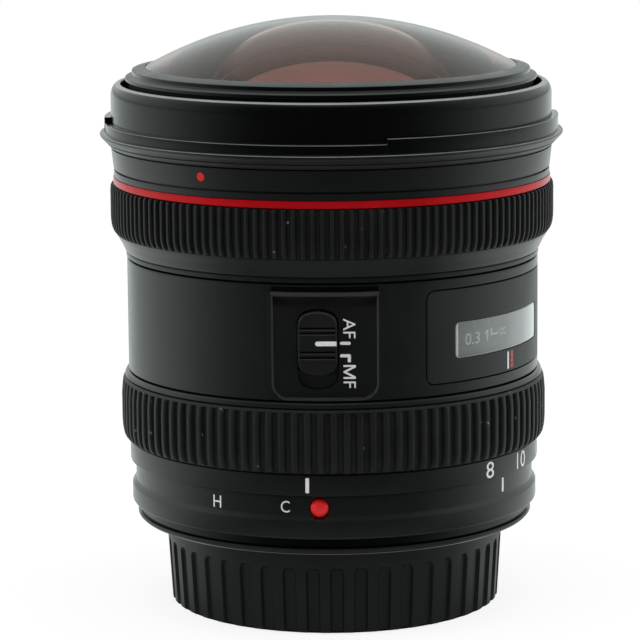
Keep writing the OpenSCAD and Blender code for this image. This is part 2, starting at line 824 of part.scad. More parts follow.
module distance_window() {
  color([0.85, 0.9, 0.92, 0.35]) intersection() {
    ring(barrel_r - window_panel_t, barrel_r - 0.08, z_barrel, z_barrel_top);
    at(window_angle) outward(barrel_r * 0.7, barrel_r + 2) window_outline(-seat_gap);
  }
}

// Focus drive

module usm_pressure_spring() {
  color(bright_metal) ring(motor_bore_r + 1, motor_r - 1, z_mid + mid_t, z_stator - seat_gap);
}

// The stator's comb teeth are cut into its upper face
module usm_stator() {
  teeth = 24;
  tooth_gap = 0.6;
  tooth_h = 1.2;
  color(brass_tone) difference() {
    ring(motor_bore_r, motor_r, z_stator, z_stator + stator_h);
    for (i = [0:teeth - 1])
      at(360 * i / teeth) translate([-tooth_gap / 2, -motor_r - over, z_stator + stator_h - tooth_h])
        cube([tooth_gap, motor_w + 2 * over, tooth_h + over]);
  }
}

module usm_rotor() {
  color(bright_metal) ring(motor_bore_r, motor_r, z_rotor, z_rotor + rotor_h);
}

roller_angles = [20, 140, 260];
roller_d0 = motor_bore_r + 0.8;
roller_d1 = motor_r - 0.8;
axle_r = 0.4;

// The carrier ring with a window and an axle for each roller, and the web that holds the distance drum
module roller_carrier() {
  z0 = z_roller - carrier_t / 2;
  color(dark_metal) {
    difference() {
      union() {
        ring(cam_r + seat_gap, motor_r + 0.6, z0, z0 + carrier_t);
        sector(motor_r + over, drum_r - drum_t - seat_gap, z0, z0 + carrier_t, drum_web[0], drum_web[1]);
      }
      for (a = roller_angles)
        at(a) translate([-roller_r - 0.3, -roller_d1 - 0.2, z0 - 1])
          cube([2 * roller_r + 0.6, roller_d1 - roller_d0 + 0.4, carrier_t + 2]);
    }
    for (a = roller_angles) at(a) radial_bar(axle_r, roller_d0 - over, roller_d1 + over, z_roller);
  }
}

module focus_roller(i) {
  color(bright_metal) at(roller_angles[i]) difference() {
    radial_bar(roller_r, roller_d0, roller_d1, z_roller);
    radial_bar(axle_r + running_gap, roller_d0 - 1, roller_d1 + 1, z_roller);
  }
}

module focus_roller_1() { focus_roller(0); }
module focus_roller_2() { focus_roller(1); }
module focus_roller_3() { focus_roller(2); }

drum_gap = 0.5;
drum_r = barrel_r - barrel_wall - drum_gap;
drum_t = 0.6;
drum_under = 1;
drum_span = [19, 112];
drum_web = [70, 105];

module distance_drum() {
  color(dark_metal)
    sector(drum_r - drum_t, drum_r, window_z - drum_under, z_drive - drum_gap / 2,
      drum_span[0], drum_span[1]);
}

module focus_cam_ring() {
  half = pin_r + slot_play + 0.15;
  rate = focus_rate / carrier_share;
  turn = focus_turn * carrier_share;
  color(dark_metal) difference() {
    ring(cam_bore_r, cam_r, z_mid + mid_t + 0.3, z_top_plate - 0.5);
    for (a = cam_angles)
      helix_cutter(cam_bore_r - over, cam_r + over, a - turn - 3, a + 3,
        z_focus_pin + rate * (turn + 3), -rate, half);
  }
}

module manual_drive_ring() {
  color(dark_metal) {
    ring(motor_bore_r, skirt_r, z_drive, z_drive + drive_t);
    ring(skirt_r - skirt_wall, skirt_r, z_drive, z_skirt_top);
  }
}

// Focus ring

focus_seat_r = focus_rubber_r - 1;

module focus_ring_shell() {
  bore = skirt_r + seat_gap;
  cone_r = focus_seat_r + 0.25;
  seam = z_focus_cone - 0.15;
  color(black) rotate_extrude() polygon([[bore, z_focus], [focus_base_r, z_focus],
    [focus_base_r, seam - mark_groove], [focus_base_r - mark_groove, seam],
    [focus_base_r + mark_groove, seam + mark_groove], [cone_r, z_focus_rubber - seat_gap],
    [focus_seat_r, z_focus_rubber - seat_gap], [focus_seat_r, z_focus_top], [focus_bore_r, z_focus_top],
    [focus_bore_r, z_skirt_top], [bore, z_skirt_top]]);
}

module focus_ring_rubber() {
  bore = focus_seat_r + seat_gap;
  floor_r = focus_rubber_r - 0.6;
  color(rubber_black) ribbed_grip(focus_ribs, floor_r, focus_rubber_r, 0.6, z_focus_rubber, focus_rubber_h,
    [[bore, z_focus_rubber], [floor_r - 0.1, z_focus_rubber], [focus_rubber_r - 0.2, z_focus_rubber + 0.8],
      [focus_rubber_r, z_focus_rubber + 1.8], [focus_rubber_r, z_focus_top - 0.4],
      [focus_rubber_r - 0.25, z_focus_top], [bore, z_focus_top]]);
}

// Front barrel

module trim_ring() {
  bore = name_seat_r + seat_gap;
  color(trim_red) rotate_extrude() polygon([[bore, z_trim], [trim_r - 0.15, z_trim], [trim_r, z_trim + 0.2],
    [trim_r, z_trim + trim_h - 0.2], [trim_r - 0.15, z_trim + trim_h], [bore, z_trim + trim_h]]);
}

module name_ring() {
  bore = name_seat_r + seat_gap;
  top = z_name_groove + name_h;
  color(black) rotate_extrude() polygon([[bore, z_name], [name_r - 0.05, z_name],
    [name_r - 0.05, z_name_groove - 0.3], [name_r - 0.35, z_name_groove - 0.25],
    [name_r - 0.35, z_name_groove], [name_r, z_name_groove + 0.05],
    [name_r + name_flare, top - 0.3], [name_r + name_flare, top], [bore, top]]);
}

// Points of a quarter round from the side to the top of a wall
function round_top(r, z, radius) =
  [for (a = [0:15:90]) [r - radius + radius * cos(a), z - radius + radius * sin(a)]];

module front_barrel() {
  base_bore = cell_tube_r + 0.4;
  tube_bore = front_tube_r - front_tube_wall;
  cup_bore = cup_r + 0.6;
  wall_bore = wall_r - wall_t;
  z_step = z_cup - front_down - front_cell_play;
  color(black) {
    difference() {
      union() {
        rotate_extrude() polygon(concat([[base_bore, z_front_base], [front_tube_r, z_front_base],
          [front_tube_r, z_focus_top + 0.05], [name_seat_r, z_focus_top + 0.05], [name_seat_r, z_front],
          [name_r + name_flare + 0.05, z_front], [flange_r - 0.1, z_edge], [flange_r, z_edge + 0.3],
          [flange_r - 0.15, z_edge_top], [hood_r, z_edge_top + 0.15], [hood_r, z_ledge],
          [wall_r + hood_flare, z_ledge], [wall_r, z_ledge + hood_lug_h]],
          round_top(wall_r, z_wall_top, wall_round),
          [[wall_bore, z_wall_top], [wall_bore, z_edge], [cup_bore, z_edge], [cup_bore, z_step],
          [tube_bore, z_step], [tube_bore, z_front_base + front_base_t],
          [base_bore, z_front_base + front_base_t]]));
        for (a = [hood_lug_angle, hood_lug_angle + 180])
          sector(wall_r - over, hood_r + hood_lug_proud, z_edge_top + edge, z_ledge + hood_lug_h,
            a, a + hood_lug_sweep);
      }
      for (i = [0:3]) at(45 + 90 * i) front_screw(seat_gap);
    }
  }
}

// One screw through the foot of the front barrel, grown by a clearance where it is a hole
module front_screw(grow) {
  translate([0, -(motor_r - 1.3), z_top_plate + 0.4 - grow]) {
    cylinder(r = 0.5 + grow, h = top_plate_t + front_base_t - 0.5 + grow);
    translate([0, 0, top_plate_t + front_base_t - 1.1]) cylinder(r = 1 + grow, h = 0.6 + 2 * grow);
  }
}

module front_barrel_screws() {
  color(bright_metal) for (i = [0:3]) at(45 + 90 * i) front_screw(0);
}

// Front group

// Height of the front element's outer face at a radius
function dome_level(r) = z_apex - dome_sphere_r + sqrt(dome_sphere_r * dome_sphere_r - r * r);

z_dome_edge = dome_level(dome_r);
z_cup_top = z_dome_edge - 1.6;
cup_floor = 1.4;
second_bore = second_r + glass_play;
second_seat_w = 1.5;
second_drop = 6.2;
z_second_seat = z_cup - second_drop;

module front_cell() {
  base_bore = leg_r - leg_t - 0.25;
  dome_bore = dome_r + glass_play;
  seat_bore = second_bore - second_seat_w;
  cell_base_t = 1.2;
  color(dark_metal) {
    rotate_extrude() polygon([[base_bore, z_front_cell], [cell_tube_r, z_front_cell], [cell_tube_r, z_cup],
      [cup_r, z_cup], [cup_r, z_cup_top], [dome_bore, z_cup_top], [dome_bore, z_cup + cup_floor],
      [second_bore, z_cup + cup_floor], [second_bore, z_second_seat], [seat_bore, z_second_seat],
      [seat_bore, z_front_cell + cell_base_t], [base_bore, z_front_cell + cell_base_t]]);
    for (a = leg_angles) difference() {
      sector(leg_r - leg_t, leg_r, z_front_pin - 2.2, z_front_cell + over, a - leg_half, a + leg_half);
      at(a) radial_bar(pin_r + seat_gap, leg_r - 3, leg_r + 3, z_front_pin);
    }
  }
}

module front_cam_pins() {
  color(brass_tone) cam_pins(leg_angles, z_front_pin, leg_r - leg_t);
}

module front_element() {
  color(glass_tint)
    meniscus(dome_r, z_apex, dome_sphere_r, dome_t, dome_hollow_r, z_cup + cup_floor + seat_gap);
}

second_h = 10.1;
second_t = 3.5;
second_sphere_r = 67;
second_hollow_r = 22;

module second_element() {
  color(glass_tint) meniscus(second_r, z_second_seat + second_h, second_sphere_r, second_t,
    second_hollow_r, z_second_seat + seat_gap);
}

module front_retaining_ring() {
  inner = dome_r - 1;
  bore = dome_r + glass_play;
  outer = cup_r + 0.6;
  crest = outer - 1.15;
  z0 = z_cup_top + seat_gap;
  z_lip = dome_level(inner) + seat_gap;
  z_crest = z_lip - 0.45;
  z_shelf = z_crest - 0.75;
  z_outer = z_shelf - 0.45;
  color(black) rotate_extrude() polygon([[bore, z0], [outer, z0], [outer, z_outer],
    [crest + 0.08, z_shelf], [crest, z_shelf + 0.08], [crest, z_crest], [inner, z_lip + 0.1],
    [inner, z_lip], [bore, z_dome_edge]]);
}

// Focus group

// The cell has a rib between its two elements
focus_rib_up = 5.2;
focus_rib_z = z_focus_cell + focus_rib_up;
focus_rib_t = 1.6;
focus_rib_w = 1.4;
focus_pin_seat = 1.5;

module focus_cell() {
  bore = focus_glass_r + glass_play;
  z1 = z_focus_cell + focus_cell_h;
  rib_bore = bore - focus_rib_w;
  rib_top = focus_rib_z + focus_rib_t;
  color(dark_metal) difference() {
    rotate_extrude() polygon([[bore, z_focus_cell], [cell_r, z_focus_cell], [cell_r, z1], [bore, z1],
      [bore, rib_top], [rib_bore, rib_top], [rib_bore, focus_rib_z], [bore, focus_rib_z]]);
    for (a = cam_angles)
      at(a) radial_bar(pin_r + seat_gap, cell_r - focus_pin_seat - seat_gap, cell_r + 1, z_focus_pin);
  }
}

focus_front_h = 4.9;
focus_front_t = 2.6;
focus_front_sphere_r = 38;
focus_front_hollow_r = 60;

module focus_element_front() {
  z0 = focus_rib_z + focus_rib_t + seat_gap;
  color(glass_tint) meniscus(focus_glass_r, z0 + focus_front_h, focus_front_sphere_r, focus_front_t,
    focus_front_hollow_r, z0);
}

focus_rear_h = 4.75;
focus_rear_hollow_r = 36;
focus_rear_sag = 2;

module focus_element_rear() {
  z0 = focus_rib_z - seat_gap - focus_rear_h;
  color(glass_tint) difference() {
    translate([0, 0, z0]) cylinder(r = focus_glass_r, h = focus_rear_h);
    translate([0, 0, z0 + focus_rear_sag - focus_rear_hollow_r]) sphere(r = focus_rear_hollow_r);
  }
}

module focus_cam_pins() {
  color(brass_tone) cam_pins(cam_angles, z_focus_pin, cell_r - focus_pin_seat);
}

// Rear group

// The cell has a rib between its two elements, and a wide rim that carries the pins
rear_waist_t = 2.6;
rear_waist_r = rear_glass_r + glass_play + rear_waist_t;
rear_rim_h = 2;
rear_rib_up = 6.6;
rear_rib_z = z_rear_cell + rear_rib_up;
rear_rib_t = 1.4;
rear_rib_w = 1.3;
rear_pin_seat = 2;

module rear_cell() {
  bore = rear_glass_r + glass_play;
  z1 = z_iris - seat_gap;
  rim_top = z_rear_pin + rear_rim_h;
  rib_bore = bore - rear_rib_w;
  rib_top = rear_rib_z + rear_rib_t;
  color(dark_metal) difference() {
    rotate_extrude() polygon([[bore, z_rear_cell], [cell_r, z_rear_cell], [cell_r, rim_top],
      [rear_waist_r, rim_top], [rear_waist_r, z1], [bore, z1], [bore, rib_top], [rib_bore, rib_top],
      [rib_bore, rear_rib_z], [bore, rear_rib_z]]);
    for (a = cam_angles)
      at(a) radial_bar(pin_r + seat_gap, cell_r - rear_pin_seat - 2 * seat_gap, cell_r + 1, z_rear_pin);
  }
}

rear_sag = 2;
rear_sphere_r = (rear_glass_r * rear_glass_r + rear_sag * rear_sag) / (2 * rear_sag);
rear_back_h = 6;
rear_front_h = 5.5;

module rear_element_rear() {
  color(glass_tint) biconvex(rear_glass_r, rear_rib_z - rear_back_h, rear_rib_z, rear_sphere_r);
}

module rear_element_front() {
  z0 = rear_rib_z + rear_rib_t - 0.3;
  color(glass_tint) biconvex(rear_glass_r, z0, z0 + rear_front_h, rear_sphere_r);
}

module rear_cam_pins() {
  color(brass_tone) cam_pins(cam_angles, z_rear_pin, cell_r - rear_pin_seat);
}

// Iris: seven blades, each at its own level, on pivots in the base, swung by slots in the drive ring
blades = 7;
iris_plate_t = 1;
pivot_r = iris_open_r + blade_w + 1.2;
pivot_pin_r = 0.4;
drive_arm = 2;
blade_tab_w = 2;
z_blades = z_iris + iris_plate_t + 0.2;
z_iris_ring = z_blades + blades * blade_pitch + 0.15;
iris_ring_t = 0.8;
iris_rim_r = cell_r - 1;

module iris_base() {
  color(black) difference() {
    union() {
      ring(iris_open_r - 0.5, cell_r, z_iris, z_iris + iris_plate_t);
      ring(iris_rim_r, cell_r, z_iris, z_iris_ring + iris_ring_t);
    }
    for (i = [0:blades - 1])
      at(360 * i / blades) translate([0, -pivot_r, z_iris - over])
        cylinder(r = pivot_pin_r + running_gap, h = iris_plate_t + 2 * over);
  }
}

iris_motor_r = 1.9;
iris_motor_h = 6.45;

module iris_motor() {
  d = rear_waist_r + iris_motor_r + 0.15;
  color(bright_metal)
    at(120) translate([0, -d, z_iris - seat_gap - iris_motor_h]) cylinder(r = iris_motor_r, h = iris_motor_h);
}

module iris_drive_ring() {
  color(dark_metal) difference() {
    ring(iris_open_r + 0.5, iris_rim_r - run_fit, z_iris_ring, z_iris_ring + iris_ring_t);
    for (i = [0:blades - 1])
      at(360 * i / blades) translate([-pivot_pin_r - 0.1, -(pivot_r + drive_arm + 0.6), z_iris_ring - 1])
        cube([2 * (pivot_pin_r + 0.1), 1.4, iris_ring_t + 2]);
  }
}

// A blade: a curved leaf, a tab with the pivot pin into the base and a drive pin up to the drive ring
module iris_blade(i) {
  z = z_blades + blade_pitch * i;
  color("#26262a") at(360 * i / blades) {
    sector(iris_open_r + 0.1, iris_open_r + blade_w, z, z + blade_t, -2, 66);
    translate([-blade_tab_w / 2, -(pivot_r + drive_arm + 0.5), z])
      cube([blade_tab_w, drive_arm + 0.5 + pivot_r - iris_open_r - blade_w + 1, blade_t]);
    translate([0, -pivot_r, z_iris + 0.1]) cylinder(r = pivot_pin_r, h = z + blade_t - z_iris - 0.1);
    translate([0, -(pivot_r + drive_arm), z])
      cylinder(r = pivot_pin_r, h = z_iris_ring + iris_ring_t - 0.1 - z);
  }
}

module iris_blade_1() { iris_blade(0); }
module iris_blade_2() { iris_blade(1); }
module iris_blade_3() { iris_blade(2); }
module iris_blade_4() { iris_blade(3); }
module iris_blade_5() { iris_blade(4); }
module iris_blade_6() { iris_blade(5); }
module iris_blade_7() { iris_blade(6); }

main_barrel();
window_panel();
distance_window();
chassis_barrel();
rear_barrel_ring();
mount_index_bead();
mount_gasket();
bayonet_mount();
mount_screws();
contact_block();
contact_pins();
main_board();
guide_barrel();
gel_filter_frame();
front_barrel();
front_barrel_screws();
name_ring();
trim_ring();
usm_stator();
usm_pressure_spring();
focus_ring_shell();
focus_ring_rubber();
manual_drive_ring();
usm_rotor();
roller_carrier();
distance_drum();
focus_cam_ring();
focus_roller_1();
focus_roller_2();
focus_roller_3();
focus_cell();
focus_element_front();
focus_element_rear();
focus_cam_pins();
zoom_ring_shell();
zoom_ring_rubber();
cam_barrel();
zoom_drive_key();
front_cell();
front_element();
second_element();
front_retaining_ring();
front_cam_pins();
rear_cell();
rear_element_front();
rear_element_rear();
iris_base();
iris_motor();
rear_cam_pins();
iris_drive_ring();
iris_blade_1();
iris_blade_2();
iris_blade_3();
iris_blade_4();
iris_blade_5();
iris_blade_6();
iris_blade_7();
af_switch_knob();
rear_cap();
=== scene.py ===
"""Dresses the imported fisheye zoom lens: turned and ribbed rings, switch, window, marks, glass and studio.

Sizes are in millimetres and angles in degrees about the optical axis (Z), from the side with the focus
switch (-Y), positive towards +X. Meshes are written in metres, in the frame of the CAD model.
"""

import json
import math

import bmesh
import bpy
import numpy as np
from mathutils import Matrix

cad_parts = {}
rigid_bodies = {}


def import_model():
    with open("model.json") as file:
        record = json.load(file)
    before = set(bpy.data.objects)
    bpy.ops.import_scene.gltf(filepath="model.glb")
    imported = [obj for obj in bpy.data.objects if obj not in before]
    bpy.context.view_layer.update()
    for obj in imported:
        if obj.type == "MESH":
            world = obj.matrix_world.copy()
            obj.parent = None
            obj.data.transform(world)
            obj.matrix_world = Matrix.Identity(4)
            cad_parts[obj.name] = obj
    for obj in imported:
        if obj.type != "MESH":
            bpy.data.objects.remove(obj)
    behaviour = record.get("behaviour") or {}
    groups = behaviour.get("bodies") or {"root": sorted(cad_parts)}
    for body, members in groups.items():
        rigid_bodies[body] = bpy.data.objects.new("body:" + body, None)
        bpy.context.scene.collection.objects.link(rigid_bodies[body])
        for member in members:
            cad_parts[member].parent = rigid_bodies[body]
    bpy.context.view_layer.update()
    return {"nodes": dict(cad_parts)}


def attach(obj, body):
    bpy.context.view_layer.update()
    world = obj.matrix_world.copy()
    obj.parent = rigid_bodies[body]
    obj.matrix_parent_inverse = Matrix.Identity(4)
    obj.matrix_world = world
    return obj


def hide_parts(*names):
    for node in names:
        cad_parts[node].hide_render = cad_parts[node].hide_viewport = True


for leftover in list(bpy.data.objects):
    bpy.data.objects.remove(leftover)
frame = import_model()

scene = bpy.context.scene
MM = 0.001

# Heights of the rings along the axis
Z_CAP_TOP = 14.4
Z_FLANGE = 14.5
Z_REAR = 17.5
Z_LIP = 20.9
Z_BAND = 24.6
Z_ZOOM = 24.75
Z_ZOOM_RUBBER = 28.65
Z_ZOOM_RIM = 39.25
Z_ZOOM_TOP = 40.3
Z_BARREL = 40.6
Z_BARREL_TOP = 59.6
Z_FOCUS = 59.9
Z_FOCUS_RUBBER = 64.0
Z_FOCUS_TOP = 72.1
Z_TRIM = 72.2
Z_NAME = 73.5
Z_GROOVE = 74.9
Z_FRONT = 78.55
Z_EDGE = 80.3
Z_EDGE_TOP = 80.9
Z_LEDGE = 82.55
Z_LUG_TOP = 83.45
Z_WALL_TOP = 89.1
Z_APEX = 99.9

# Radii of the rings
R_CAP = 28.9
R_CAP_FOOT = 28.1
R_GASKET = 33.8
R_LIP = 34.7
R_BAND = 34.05
R_SLEEVE = 34.95
R_ZOOM_RUBBER = 36.25
R_BARREL = 35.0
R_DRUM = 33.4
R_FOCUS_BASE = 35.1
R_FOCUS_RUBBER = 37.6
R_TRIM = 37.1
R_NAME = 37.0
R_FLANGE = 39.25
R_HOOD = 38.3
R_LUG = 38.4
R_WALL = 37.3
R_DOME = 32.4
DOME_SPHERE = 64.5

# Places round the axis
A_SWITCH = -1.8
A_WINDOW = 56.75
A_BEAD = -4.1
A_LUG = 13.3
LUG_SWEEP = 82.0


# Mesh tools

def place(radius, angle, z):
    """Points at a radius, angle and height, in metres."""
    a = np.radians(angle)
    return np.stack(np.broadcast_arrays(radius * np.sin(a), -radius * np.cos(a), z), axis=-1) * MM


def grid_faces(rows, columns, close_rows=True, close_columns=True):
    """Quads of a grid of points, row by row."""
    i = np.arange(rows if close_rows else rows - 1)[:, None]
    j = np.arange(columns if close_columns else columns - 1)[None, :]
    i1, j1 = (i + 1) % rows, (j + 1) % columns
    corners = [i * columns + j, i * columns + j1, i1 * columns + j1, i1 * columns + j]
    return np.stack(np.broadcast_arrays(*corners), axis=-1).reshape(-1, 4)


def piece(name, points, faces, material, body, slot=None, replaces=None, crease=32.0):
    """A mesh piece on a body: points in metres, smooth below the crease angle."""
    mesh = bpy.data.meshes.new(name)
    corners = np.asarray(points).reshape(-1, 3)
    mesh.from_pydata([tuple(p) for p in corners], [], [tuple(f) for f in faces])
    finish_mesh(mesh, crease)
    return add(name, mesh, material, body, replaces)


def finish_mesh(mesh, crease):
    """Merges double points, turns the faces outwards and sets the shading."""
    work = bmesh.new()
    work.from_mesh(mesh)
    bmesh.ops.remove_doubles(work, verts=work.verts, dist=1e-7)
    bmesh.ops.recalc_face_normals(work, faces=work.faces)
    work.to_mesh(mesh)
    work.free()
    mesh.polygons.foreach_set("use_smooth", [True] * len(mesh.polygons))
    mesh.set_sharp_from_angle(angle=math.radians(crease))


def linked(name, data):
    """A new object in the scene."""
    obj = bpy.data.objects.new(name, data)
    scene.collection.objects.link(obj)
    return obj


def add(name, mesh, material, body, replaces=None):
    """Links a mesh as a piece on a body."""
    obj = linked(name, mesh)
    mesh.materials.append(material)
    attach(obj, body)
    if replaces:
        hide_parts(replaces)
    return obj


def dress(made, finishes, choose):
    """Adds finishes to a piece: choose(face, radius, angle, z) numbers a face's finish, 0 for the first."""
    for extra in finishes:
        made.data.materials.append(extra)
    for face in made.data.polygons:
        x, y, z = face.center / MM
        angle = math.degrees(math.atan2(x, -y))
        face.material_index = int(choose(face, math.hypot(x, y), angle, z))


def soften(corners, radius=0.15, steps=3):
    """A closed outline with its corners rounded; a corner's third value is its own radius."""
    points = np.array([c[:2] for c in corners], float)
    radii = [c[2] if len(c) > 2 else radius for c in corners]
    made = []
    for k, here in enumerate(points):
        before, after = points[k - 1] - here, points[(k + 1) % len(points)] - here
        if radii[k] <= 0:
            made.append(here)
            continue
        start = here + before * min(0.45, radii[k] / max(np.linalg.norm(before), 1e-9))
        end = here + after * min(0.45, radii[k] / max(np.linalg.norm(after), 1e-9))
        for t in np.linspace(0, 1, steps + 1):
            made.append((1 - t) ** 2 * start + 2 * t * (1 - t) * here + t * t * end)
    return np.array(made)


EVEN = np.arange(0, 360, 1.5)


def turned(name, outline, material, replaces, body="barrel", slot="black_paint", angles=EVEN, shape=None,
           crease=32.0):
    """Turns a closed outline of (radius, height) about the axis; shape(angle, r, z) may move its points."""
    r, z = np.repeat(outline.T[:, :, None], len(angles), axis=2)
    if shape:
        r, z = shape(np.broadcast_to(angles, r.shape), r, z)
    faces = grid_faces(len(outline), len(angles))
    return piece(name, place(r, angles, z), faces, material, body, slot, replaces, crease)


def lines(*sets, gap):
    """Sorted grid lines; earlier sets win where lines come closer than the gap."""
    kept = []
    for values in sets:
        for v in values:
            if all(abs(v - k) > gap for k in kept):
                kept.append(float(v))
    return np.array(sorted(kept))


def step(low, high, value):
    """A smooth step from 0 at low to 1 at high."""
    t = np.clip((value - low) / (high - low), 0, 1)
    return t * t * (3 - 2 * t)


def box_distance(x, z, x0, x1, z0, z1, corner):
    """Signed distance to a rectangle with round corners, below 0 inside."""
    dx = np.abs(x - (x0 + x1) / 2) - (x1 - x0) / 2 + corner
    dz = np.abs(z - (z0 + z1) / 2) - (z1 - z0) / 2 + corner
    outside = np.hypot(np.maximum(dx, 0), np.maximum(dz, 0))
    return outside + np.minimum(np.maximum(dx, dz), 0) - corner


def arch_distance(x, z, half, z0, z1, end_r, corner):
    """Signed distance to an upright bar with arcs as ends and round corners, below 0 inside."""
    side = np.abs(x) - half + corner
    low, high = np.hypot(x, z - z0 - end_r), np.hypot(x, z - z1 + end_r)
    end = np.where(z < (z0 + z1) / 2, low, high) - end_r + corner
    outside = np.hypot(np.maximum(side, 0), np.maximum(end, 0))
    return outside + np.minimum(np.maximum(side, end), 0) - corner


def from_angle(angle, centre):
    """Angle from a centre, within half a turn."""
    return (np.asarray(angle) - centre + 180) % 360 - 180


def round_loop(x0, x1, z0, z1, corner, along, up, bend):
    """Points of a rectangle with round corners; counts for long sides, short sides and corners."""
    centres = [(x1 - corner, z0 + corner, -90), (x1 - corner, z1 - corner, 0),
               (x0 + corner, z1 - corner, 90), (x0 + corner, z0 + corner, 180)]
    arcs = []
    for cx, cz, first in centres:
        turn = np.radians(first + np.linspace(0, 90, bend))
        arcs.append(np.stack([cx + corner * np.cos(turn), cz + corner * np.sin(turn)], axis=1))
    made = []
    for k, arc in enumerate(arcs):
        share = np.linspace(0, 1, (up if k % 2 == 0 else along) + 2)[1:-1, None]
        made += [arc, arc[-1] * (1 - share) + arcs[(k + 1) % 4][0] * share]
    return np.vstack(made)


def chord_angles(xs, centre):
    """Angles on the barrel of points at x on the flat across a centre."""
    return centre + np.degrees(np.arcsin(np.asarray(xs) / R_BARREL))


def on_barrel(loop, radius, centre):
    """Lays a flat outline (x, z) on a cylinder."""
    return place(radius, chord_angles(loop[:, 0], centre), loop[:, 1])


# Materials

def fill(tree, made, sockets):
    """Sets a node's sockets to values, or links them to outputs."""
    for key, value in sockets.items():
        if isinstance(value, bpy.types.NodeSocket):
            tree.links.new(value, made.inputs[key])
        else:
            made.inputs[key].default_value = value


def node(tree, kind, sockets=None, **settings):
    """Adds a shader node and gives its outputs."""
    made = tree.nodes.new("ShaderNode" + kind)
    for key, value in settings.items():
        setattr(made, key, value)
    fill(tree, made, sockets or {})
    return made.outputs


def ramp(tree, value, *stops):
    """A colour ramp over a value: stops of (position, grey or colour)."""
    made = tree.nodes.new("ShaderNodeValToRGB")
    elements = made.color_ramp.elements
    while len(elements) < len(stops):
        elements.new(0.5)
    for element, (position, colour) in zip(elements, stops):
        element.position = position
        grey = isinstance(colour, (int, float))
        element.color = (colour, colour, colour, 1) if grey else (*colour, 1)
    fill(tree, made, {"Fac": value})
    return made.outputs["Color"]


def both_ways(tree, value, *stops):
    """A colour ramp over a value that runs from -1 to 1."""
    share = node(tree, "MapRange", {"Value": value, "From Min": -1.0, "From Max": 1.0})["Result"]
    return ramp(tree, share, *stops)


def graded(tree, axis, low, high, *stops):
    """A colour ramp along an axis of the object, in millimetres."""
    axes = node(tree, "SeparateXYZ", {"Vector": node(tree, "TexCoord")["Object"]})
    share = node(tree, "MapRange", {"Value": axes[axis], "From Min": low * MM, "From Max": high * MM})
    return ramp(tree, share["Result"], *[((at - low) / (high - low), colour) for at, colour in stops])


def mix(tree, first, second, factor=1.0, kind="MIX"):
    """Blends two colours; each is an output, a colour or a grey level."""
    first, second = [(c, c, c, 1) if isinstance(c, float) else c for c in (first, second)]
    return node(tree, "Mix", {0: factor, 6: first, 7: second}, data_type="RGBA", blend_type=kind)[2]


def noise(tree, scale, detail=3.0, rough=0.5):
    """A noise over the object's own coordinates, in features per metre."""
    coords = node(tree, "TexCoord")["Object"]
    sockets = {"Vector": coords, "Scale": scale, "Detail": detail, "Roughness": rough}
    return node(tree, "TexNoise", sockets)["Fac"]


def new_material(name):
    """A material, its node tree and its Principled shader."""
    made = bpy.data.materials.new(name)
    made.use_nodes = True
    return made, made.node_tree, made.node_tree.nodes["Principled BSDF"]


PATCHES = 180.0
RELIEF = 0.00004
DUST = (0.3, 0.3, 0.29, 1)


def finish(name, dark, light, rough, grain, bump, specular=0.5, metallic=0.0, speck=0.0):
    """A finish whose colour and roughness vary in patches, with a fine grain."""
    made, tree, shader = new_material(name)
    cloud = noise(tree, PATCHES, 4.0, 0.6)
    colour = ramp(tree, cloud, (0.3, dark), (0.7, light))
    if speck:
        colour = mix(tree, colour, DUST, ramp(tree, noise(tree, 900.0, 1.0), (0.76, 0.0), (0.8, speck)))
    relief = node(tree, "Bump", {"Strength": bump, "Distance": RELIEF, "Height": noise(tree, grain, 2.0)})
    sheen = ramp(tree, cloud, (0.25, rough[0]), (0.75, rough[1]))
    fill(tree, shader, {"Base Color": colour, "Roughness": sheen, "Specular IOR Level": specular,
                        "Metallic": metallic, "Normal": relief["Normal"]})
    return made


def ink(name, dark, light, specular=0.5):
    """The matt ink of a mark."""
    return finish(name, dark, light, (0.5, 0.6), 4000.0, 0.1, specular)


COAT_END = 40.0
GLASS_DENSITY = 110.0


def glass(name, tint, ior, coat=0.0, body=None, sheen=(1, 1, 1), coat_stops=()):
    """Clear glass: a tint, a coat's share of mirror or its stops of (x, share), a body colour, a sheen."""
    made, tree, shader = new_material(name)
    light = [min(1.0, c * 1.04) for c in tint]
    colour = ramp(tree, noise(tree, 60.0, 5.0, 0.6), (0.35, tint), (0.7, light))
    mirror = graded(tree, "X", 0.0, COAT_END, *coat_stops) if coat_stops else coat
    fill(tree, shader, {"Base Color": colour, "Metallic": mirror, "Transmission Weight": 1.0, "IOR": ior,
                        "Roughness": 0.0, "Specular Tint": (*sheen, 1)})
    if body:
        absorb = node(tree, "VolumeAbsorption", {"Color": (*body, 1), "Density": GLASS_DENSITY})
        fill(tree, tree.nodes["Material Output"], {"Volume": absorb["Volume"]})
    return made


paint = finish("satin_paint", (0.0054, 0.0058, 0.0058), (0.007, 0.0076, 0.0076), (0.2, 0.27), 5200.0, 0.12)
wall_paint = finish("wall_paint", (0.0009, 0.001, 0.001), (0.0013, 0.0014, 0.0014), (0.15, 0.2), 5200.0,
                    0.05, specular=0.38)
panel_paint = finish("panel_paint", (0.008, 0.0088, 0.0087), (0.0105, 0.0114, 0.0113), (0.38, 0.46),
                     5200.0, 0.2)
cone_paint = finish("cone_paint", (0.008, 0.009, 0.0085), (0.011, 0.012, 0.0115), (0.3, 0.4), 4200.0, 0.15)
plastic = finish("moulded_plastic", (0.006, 0.0066, 0.0066), (0.0085, 0.0093, 0.0093), (0.4, 0.5),
                 3800.0, 0.25, specular=0.4)
rubber = finish("grip_rubber", (0.0055, 0.006, 0.006), (0.009, 0.0098, 0.01), (0.46, 0.58), 3000.0, 0.35,
                speck=0.35)
matt_black = finish("matt_black", (0.009, 0.007, 0.0065), (0.013, 0.01, 0.009), (0.55, 0.7), 2600.0, 0.3,
                    specular=0.25)
